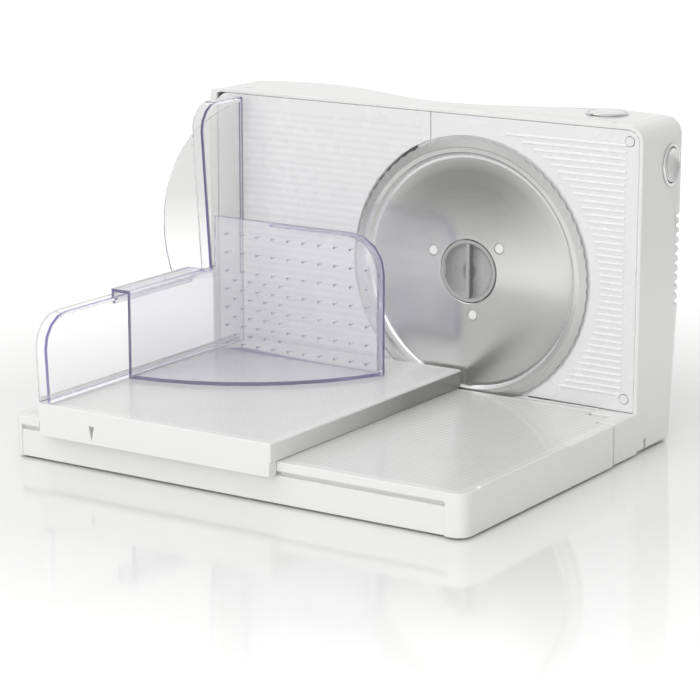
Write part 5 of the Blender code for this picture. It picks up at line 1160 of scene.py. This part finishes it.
class SLICER_OT_carriage(bpy.types.Operator):
    """The sliding carriage with its skirt"""

    bl_idname = "slicer.carriage"
    bl_label = "Carriage"

    def execute(self, context):
        finish = context.scene.slicer_finish
        low, high = CARRIAGE
        limits = (inset("X", CARRIAGE, start=5, end=5), inset("Y", CARRIAGE, start=6, end=5))
        ribs = ("X", finish.rib_pitch, CARRIAGE_VALLEY_SHADE, "Z", 1, limits)
        pointer = (span("X", low.x, POINTER[0]), span("Y", low.y, POINTER[1]),
                   inset("Z", CARRIAGE, start=1, end=7))
        # Painted shade: the carriage's right side is coloured darker towards the rear
        side = (span("X", high.x, SIDE_SHADE_DEPTH), inset("Z", CARRIAGE, start=-1, end=1.2))
        fade = (side, "Y", low.y, low.y + SIDE_SHADE_END, SIDE_SHADE)
        white = moulded("carriage_plastic", finish.white, ribs, [(POINTER_TONE, pointer)], [fade])
        refined("sliding_carriage", "carriage_plate", "carriage", white,
                MOULD_EDGE, cleaned=False)
        return {"FINISHED"}


class SLICER_OT_clear_parts(bpy.types.Operator):
    """The clear back stop and thumb guard"""

    bl_idname = "slicer.clear_parts"
    bl_label = "Clear stop and guard"

    def execute(self, context):
        finish = context.scene.slicer_finish
        stop = self.clear_part("clear_back_stop", "back_stop", "stop", finish)
        self.part_plate_from_flange(stop)
        shade_rims(stop, clear_plastic("stop_rim_plastic", finish.clear))
        guard = self.clear_part("clear_thumb_guard", "thumb_guard", "guard", finish)
        shade_rims(guard, clear_plastic("guard_rim_plastic", finish.clear))
        return {"FINISHED"}

    def clear_part(self, name, node, word, finish):
        """One clear part, still without its rims' painted shade."""
        clear = clear_plastic(word + "_clear_plastic", finish.clear)
        return refined(name, node, "carriage", clear, finish.clear_edge)

    def part_plate_from_flange(self, stop):
        """Splits the faces where the plate meets its flange, so that the plate's edge can take the painted
        rim shade.
        """
        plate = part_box("back_stop")[1].x - STOP_THICKNESS
        start_edit(stop)
        bpy.ops.mesh.bisect(plane_co=(plate, 0, 0), plane_no=(1, 0, 0))
        end_edit()
        smooth(stop)


class SLICER_OT_food_holder(bpy.types.Operator):
    """The clear food holder with its rows of spikes"""

    bl_idname = "slicer.food_holder"
    bl_label = "Food holder"

    def execute(self, context):
        finish = context.scene.slicer_finish
        clear = clear_plastic("holder_clear_plastic", finish.clear)
        holder = refined("clear_food_holder", "food_holder", "holder", clear,
                         HOLDER_EDGE, cleaned=False)
        self.add_flange(holder, finish)
        shade_rims(holder, clear_plastic("holder_rim_plastic", finish.clear))
        # Painted shade: the spikes get a darker copy of the clear plastic
        holder.data.materials.append(clear_plastic("spike_plastic", finish.clear))
        pick(holder, lambda middle: middle.y > SPIKE_START.y and middle.x > SPIKE_START.x, "FACE")
        holder.active_material_index = len(holder.data.materials) - 1
        bpy.ops.object.material_slot_assign()
        end_edit()
        return {"FINISHED"}

    def add_flange(self, holder, finish):
        """The low flange round the plate's right edge, corner and top, drawn out as one strip."""
        deep, thick = finish.flange_depth, finish.flange_thickness
        middle = Vector((HOLDER_HIGH.x - HOLDER_CORNER, 0, HOLDER_HIGH.z - HOLDER_CORNER))
        start = Vector((HOLDER_HIGH.x - thick / 2, HOLDER_PLATE - deep / 2, HOLDER_LOW.z + FLANGE_LIFT))
        deselect()
        bpy.ops.mesh.primitive_plane_add(size=1, location=start)
        flange = bpy.context.object
        flange.scale = (thick, deep, 1)
        settle(flange)
        start_edit(flange, "FACE")
        self.draw_out((0, 0, middle.z - start.z))
        for step in range(FLANGE_STEPS):
            self.draw_out((0, 0, 0))
            bpy.ops.transform.rotate(value=QUARTER / FLANGE_STEPS, orient_axis="Y", center_override=middle)
        self.draw_out(((HOLDER_LOW.x - middle.x) / 2, 0, 0))
        face_out()
        end_edit()
        round_edges(flange, MOULD_EDGE)
        # Painted shade: the flange gets a darker copy of the clear plastic
        flange.data.materials.append(clear_plastic("flange_plastic", finish.clear))
        only(holder)
        flange.select_set(True)
        bpy.ops.object.join()

    def draw_out(self, step):
        """Draws the strip's end out by a step."""
        bpy.ops.mesh.extrude_region_move(TRANSFORM_OT_translate={"value": step})


class SLICER_OT_gauge(bpy.types.Operator):
    """The thickness dial, its spindle and the gauge plate's carrier"""

    bl_idname = "slicer.gauge"
    bl_label = "Thickness gauge"

    def execute(self, context):
        finish = context.scene.slicer_finish
        white = moulded("dial_plastic", finish.white)
        refined("gauge_dial", "thickness_dial", "dial", white, DIAL_EDGE, segments=3)
        repaint(moulded("carrier_nylon", NYLON), "gauge_carrier", "dial_spindle")
        return {"FINISHED"}


class SLICER_OT_stage(bpy.types.Operator):
    """The floor, the lights and the camera"""

    bl_idname = "slicer.stage"
    bl_label = "Stage"

    def execute(self, context):
        stage = context.scene.slicer_stage
        self.floor(stage)
        self.room(context.scene, stage)
        for name, (place, size) in LAMPS.items():
            self.light(name, place, size, getattr(stage, name))
        deselect()
        bpy.ops.object.camera_add(location=CAMERA_PLACE, rotation=CAMERA_TURN)
        camera = context.object
        camera.data.lens = CAMERA_LENS
        camera.data.sensor_width = CAMERA_SENSOR
        camera.data.clip_end = CAMERA_REACH
        context.scene.camera = camera
        context.scene.view_settings.view_transform = "Standard"
        return {"FINISHED"}

    def floor(self, stage):
        """A pale, glossy floor. It glows for the camera far from the slicer, so that it stays white
        where no shadow falls, and for reflections in a ring nearer to it."""
        deselect()
        bpy.ops.mesh.primitive_plane_add(size=FLOOR_SIZE, location=(0, 0, 0))
        floor = bpy.context.object
        floor.name = "floor"
        surface = Surface("floor_gloss")
        rays = surface.add("LightPath").outputs
        out = surface.length(surface.place())
        far = surface.times(rays["Is Camera Ray"], surface.fading(out, *FAR_GLOW))
        ring = surface.times(surface.fading(out, *RING_GLOW), surface.fading(out, *RING_END))
        near = surface.times(rays["Is Glossy Ray"], ring)
        material = surface.finish(
            Base_Color=(*stage.floor, 1), Roughness=0.07, IOR=1.65, Emission_Color=(1, 1, 1, 1),
            Emission_Strength=surface.math("MAXIMUM", far, near))
        floor.data.materials.append(material)

    def room(self, scene, stage):
        """Light from all round, darker on three sides, which looks white to the camera and through
        the clear parts."""
        world = bpy.data.worlds.new("room")
        scene.world = world
        world.use_nodes = True
        graph = Graph(world.node_tree)
        rays = graph.add("LightPath").outputs
        seen = graph.math("MAXIMUM", rays["Is Camera Ray"], rays["Is Transmission Ray"])
        split = graph.split(graph.place("Generated"))
        dark = graph.math("ADD", self.lobe(graph, stage.front_dark),
                          self.towards(graph, split["X"], stage.right_dark))
        dark = graph.math("ADD", dark, self.towards(graph, split["Z"], stage.top_dark))
        light = graph.math("MAXIMUM", graph.math("SUBTRACT", 1.0, dark), LEAST_LIGHT)
        light = graph.math("MAXIMUM", graph.times(light, stage.room), seen)
        graph.feed(graph.nodes["Background"], Strength=light, Color=(1, 1, 1, 1))

    def lobe(self, graph, amount):
        """The dark part of the room in front and to the left, which the blade reflects."""
        dot = graph.add("VectorMath", operation="DOT_PRODUCT")
        graph.fill(dot.inputs[0], graph.place("Generated"))
        graph.fill(dot.inputs[1], DARK_SIDE.normalized())
        return graph.fading(dot.outputs["Value"], *DARK_RANGE, amount, interpolation_type="SMOOTHSTEP")

    def towards(self, graph, part, amount):
        """How much is taken off towards one side, none behind it."""
        side = graph.math("MAXIMUM", part, 0.0)
        return graph.times(graph.times(side, side), amount)

    def light(self, name, place, size, power):
        """A large soft light that looks at the slicer. Only the key light shows in reflections."""
        deselect()
        bpy.ops.object.light_add(type="AREA", location=place)
        lamp = bpy.context.object
        lamp.name = name
        lamp.data.size = size
        lamp.data.energy = power
        lamp.visible_glossy = name == "key"
        look = LAMP_AIM - Vector(place)
        lamp.rotation_euler = look.to_track_quat("-Z", "Y").to_euler()


class SLICER_PT_panel(bpy.types.Panel):
    """Lists the slicer's pieces"""

    bl_idname = "SLICER_PT_panel"
    bl_label = "Food slicer"
    bl_space_type = "VIEW_3D"
    bl_region_type = "UI"
    bl_category = "Slicer"

    def draw(self, context):
        scene = context.scene
        for group in (scene.slicer_finish, scene.slicer_blade, scene.slicer_stage):
            box = self.layout.box()
            for name in group.bl_rna.properties.keys():
                if name not in ("rna_type", "name"):
                    box.prop(group, name)
        for operator in OPERATORS:
            self.layout.operator(operator.bl_idname)


OPERATORS = (
    SLICER_OT_housing, SLICER_OT_panels, SLICER_OT_blade, SLICER_OT_drive, SLICER_OT_knob,
    SLICER_OT_buttons, SLICER_OT_base, SLICER_OT_carriage, SLICER_OT_clear_parts,
    SLICER_OT_food_holder, SLICER_OT_gauge, SLICER_OT_stage,
)
GROUPS = (("slicer_finish", SlicerFinish), ("slicer_blade", SlicerBlade), ("slicer_stage", SlicerStage))


def register():
    """Registers the settings, the operators and the panel."""
    for name, group in GROUPS:
        bpy.utils.register_class(group)
        setattr(bpy.types.Scene, name, PointerProperty(type=group))
    for item in OPERATORS + (SLICER_PT_panel,):
        bpy.utils.register_class(item)


def unregister():
    """Takes them away again."""
    for item in reversed(OPERATORS + (SLICER_PT_panel,)):
        bpy.utils.unregister_class(item)
    for name, group in reversed(GROUPS):
        delattr(bpy.types.Scene, name)
        bpy.utils.unregister_class(group)


def main():
    """Makes every piece in order."""
    register()
    for operator in OPERATORS:
        area, name = operator.bl_idname.split(".")
        getattr(getattr(bpy.ops, area), name)()
    deselect()


if __name__ == "__main__":
    main()
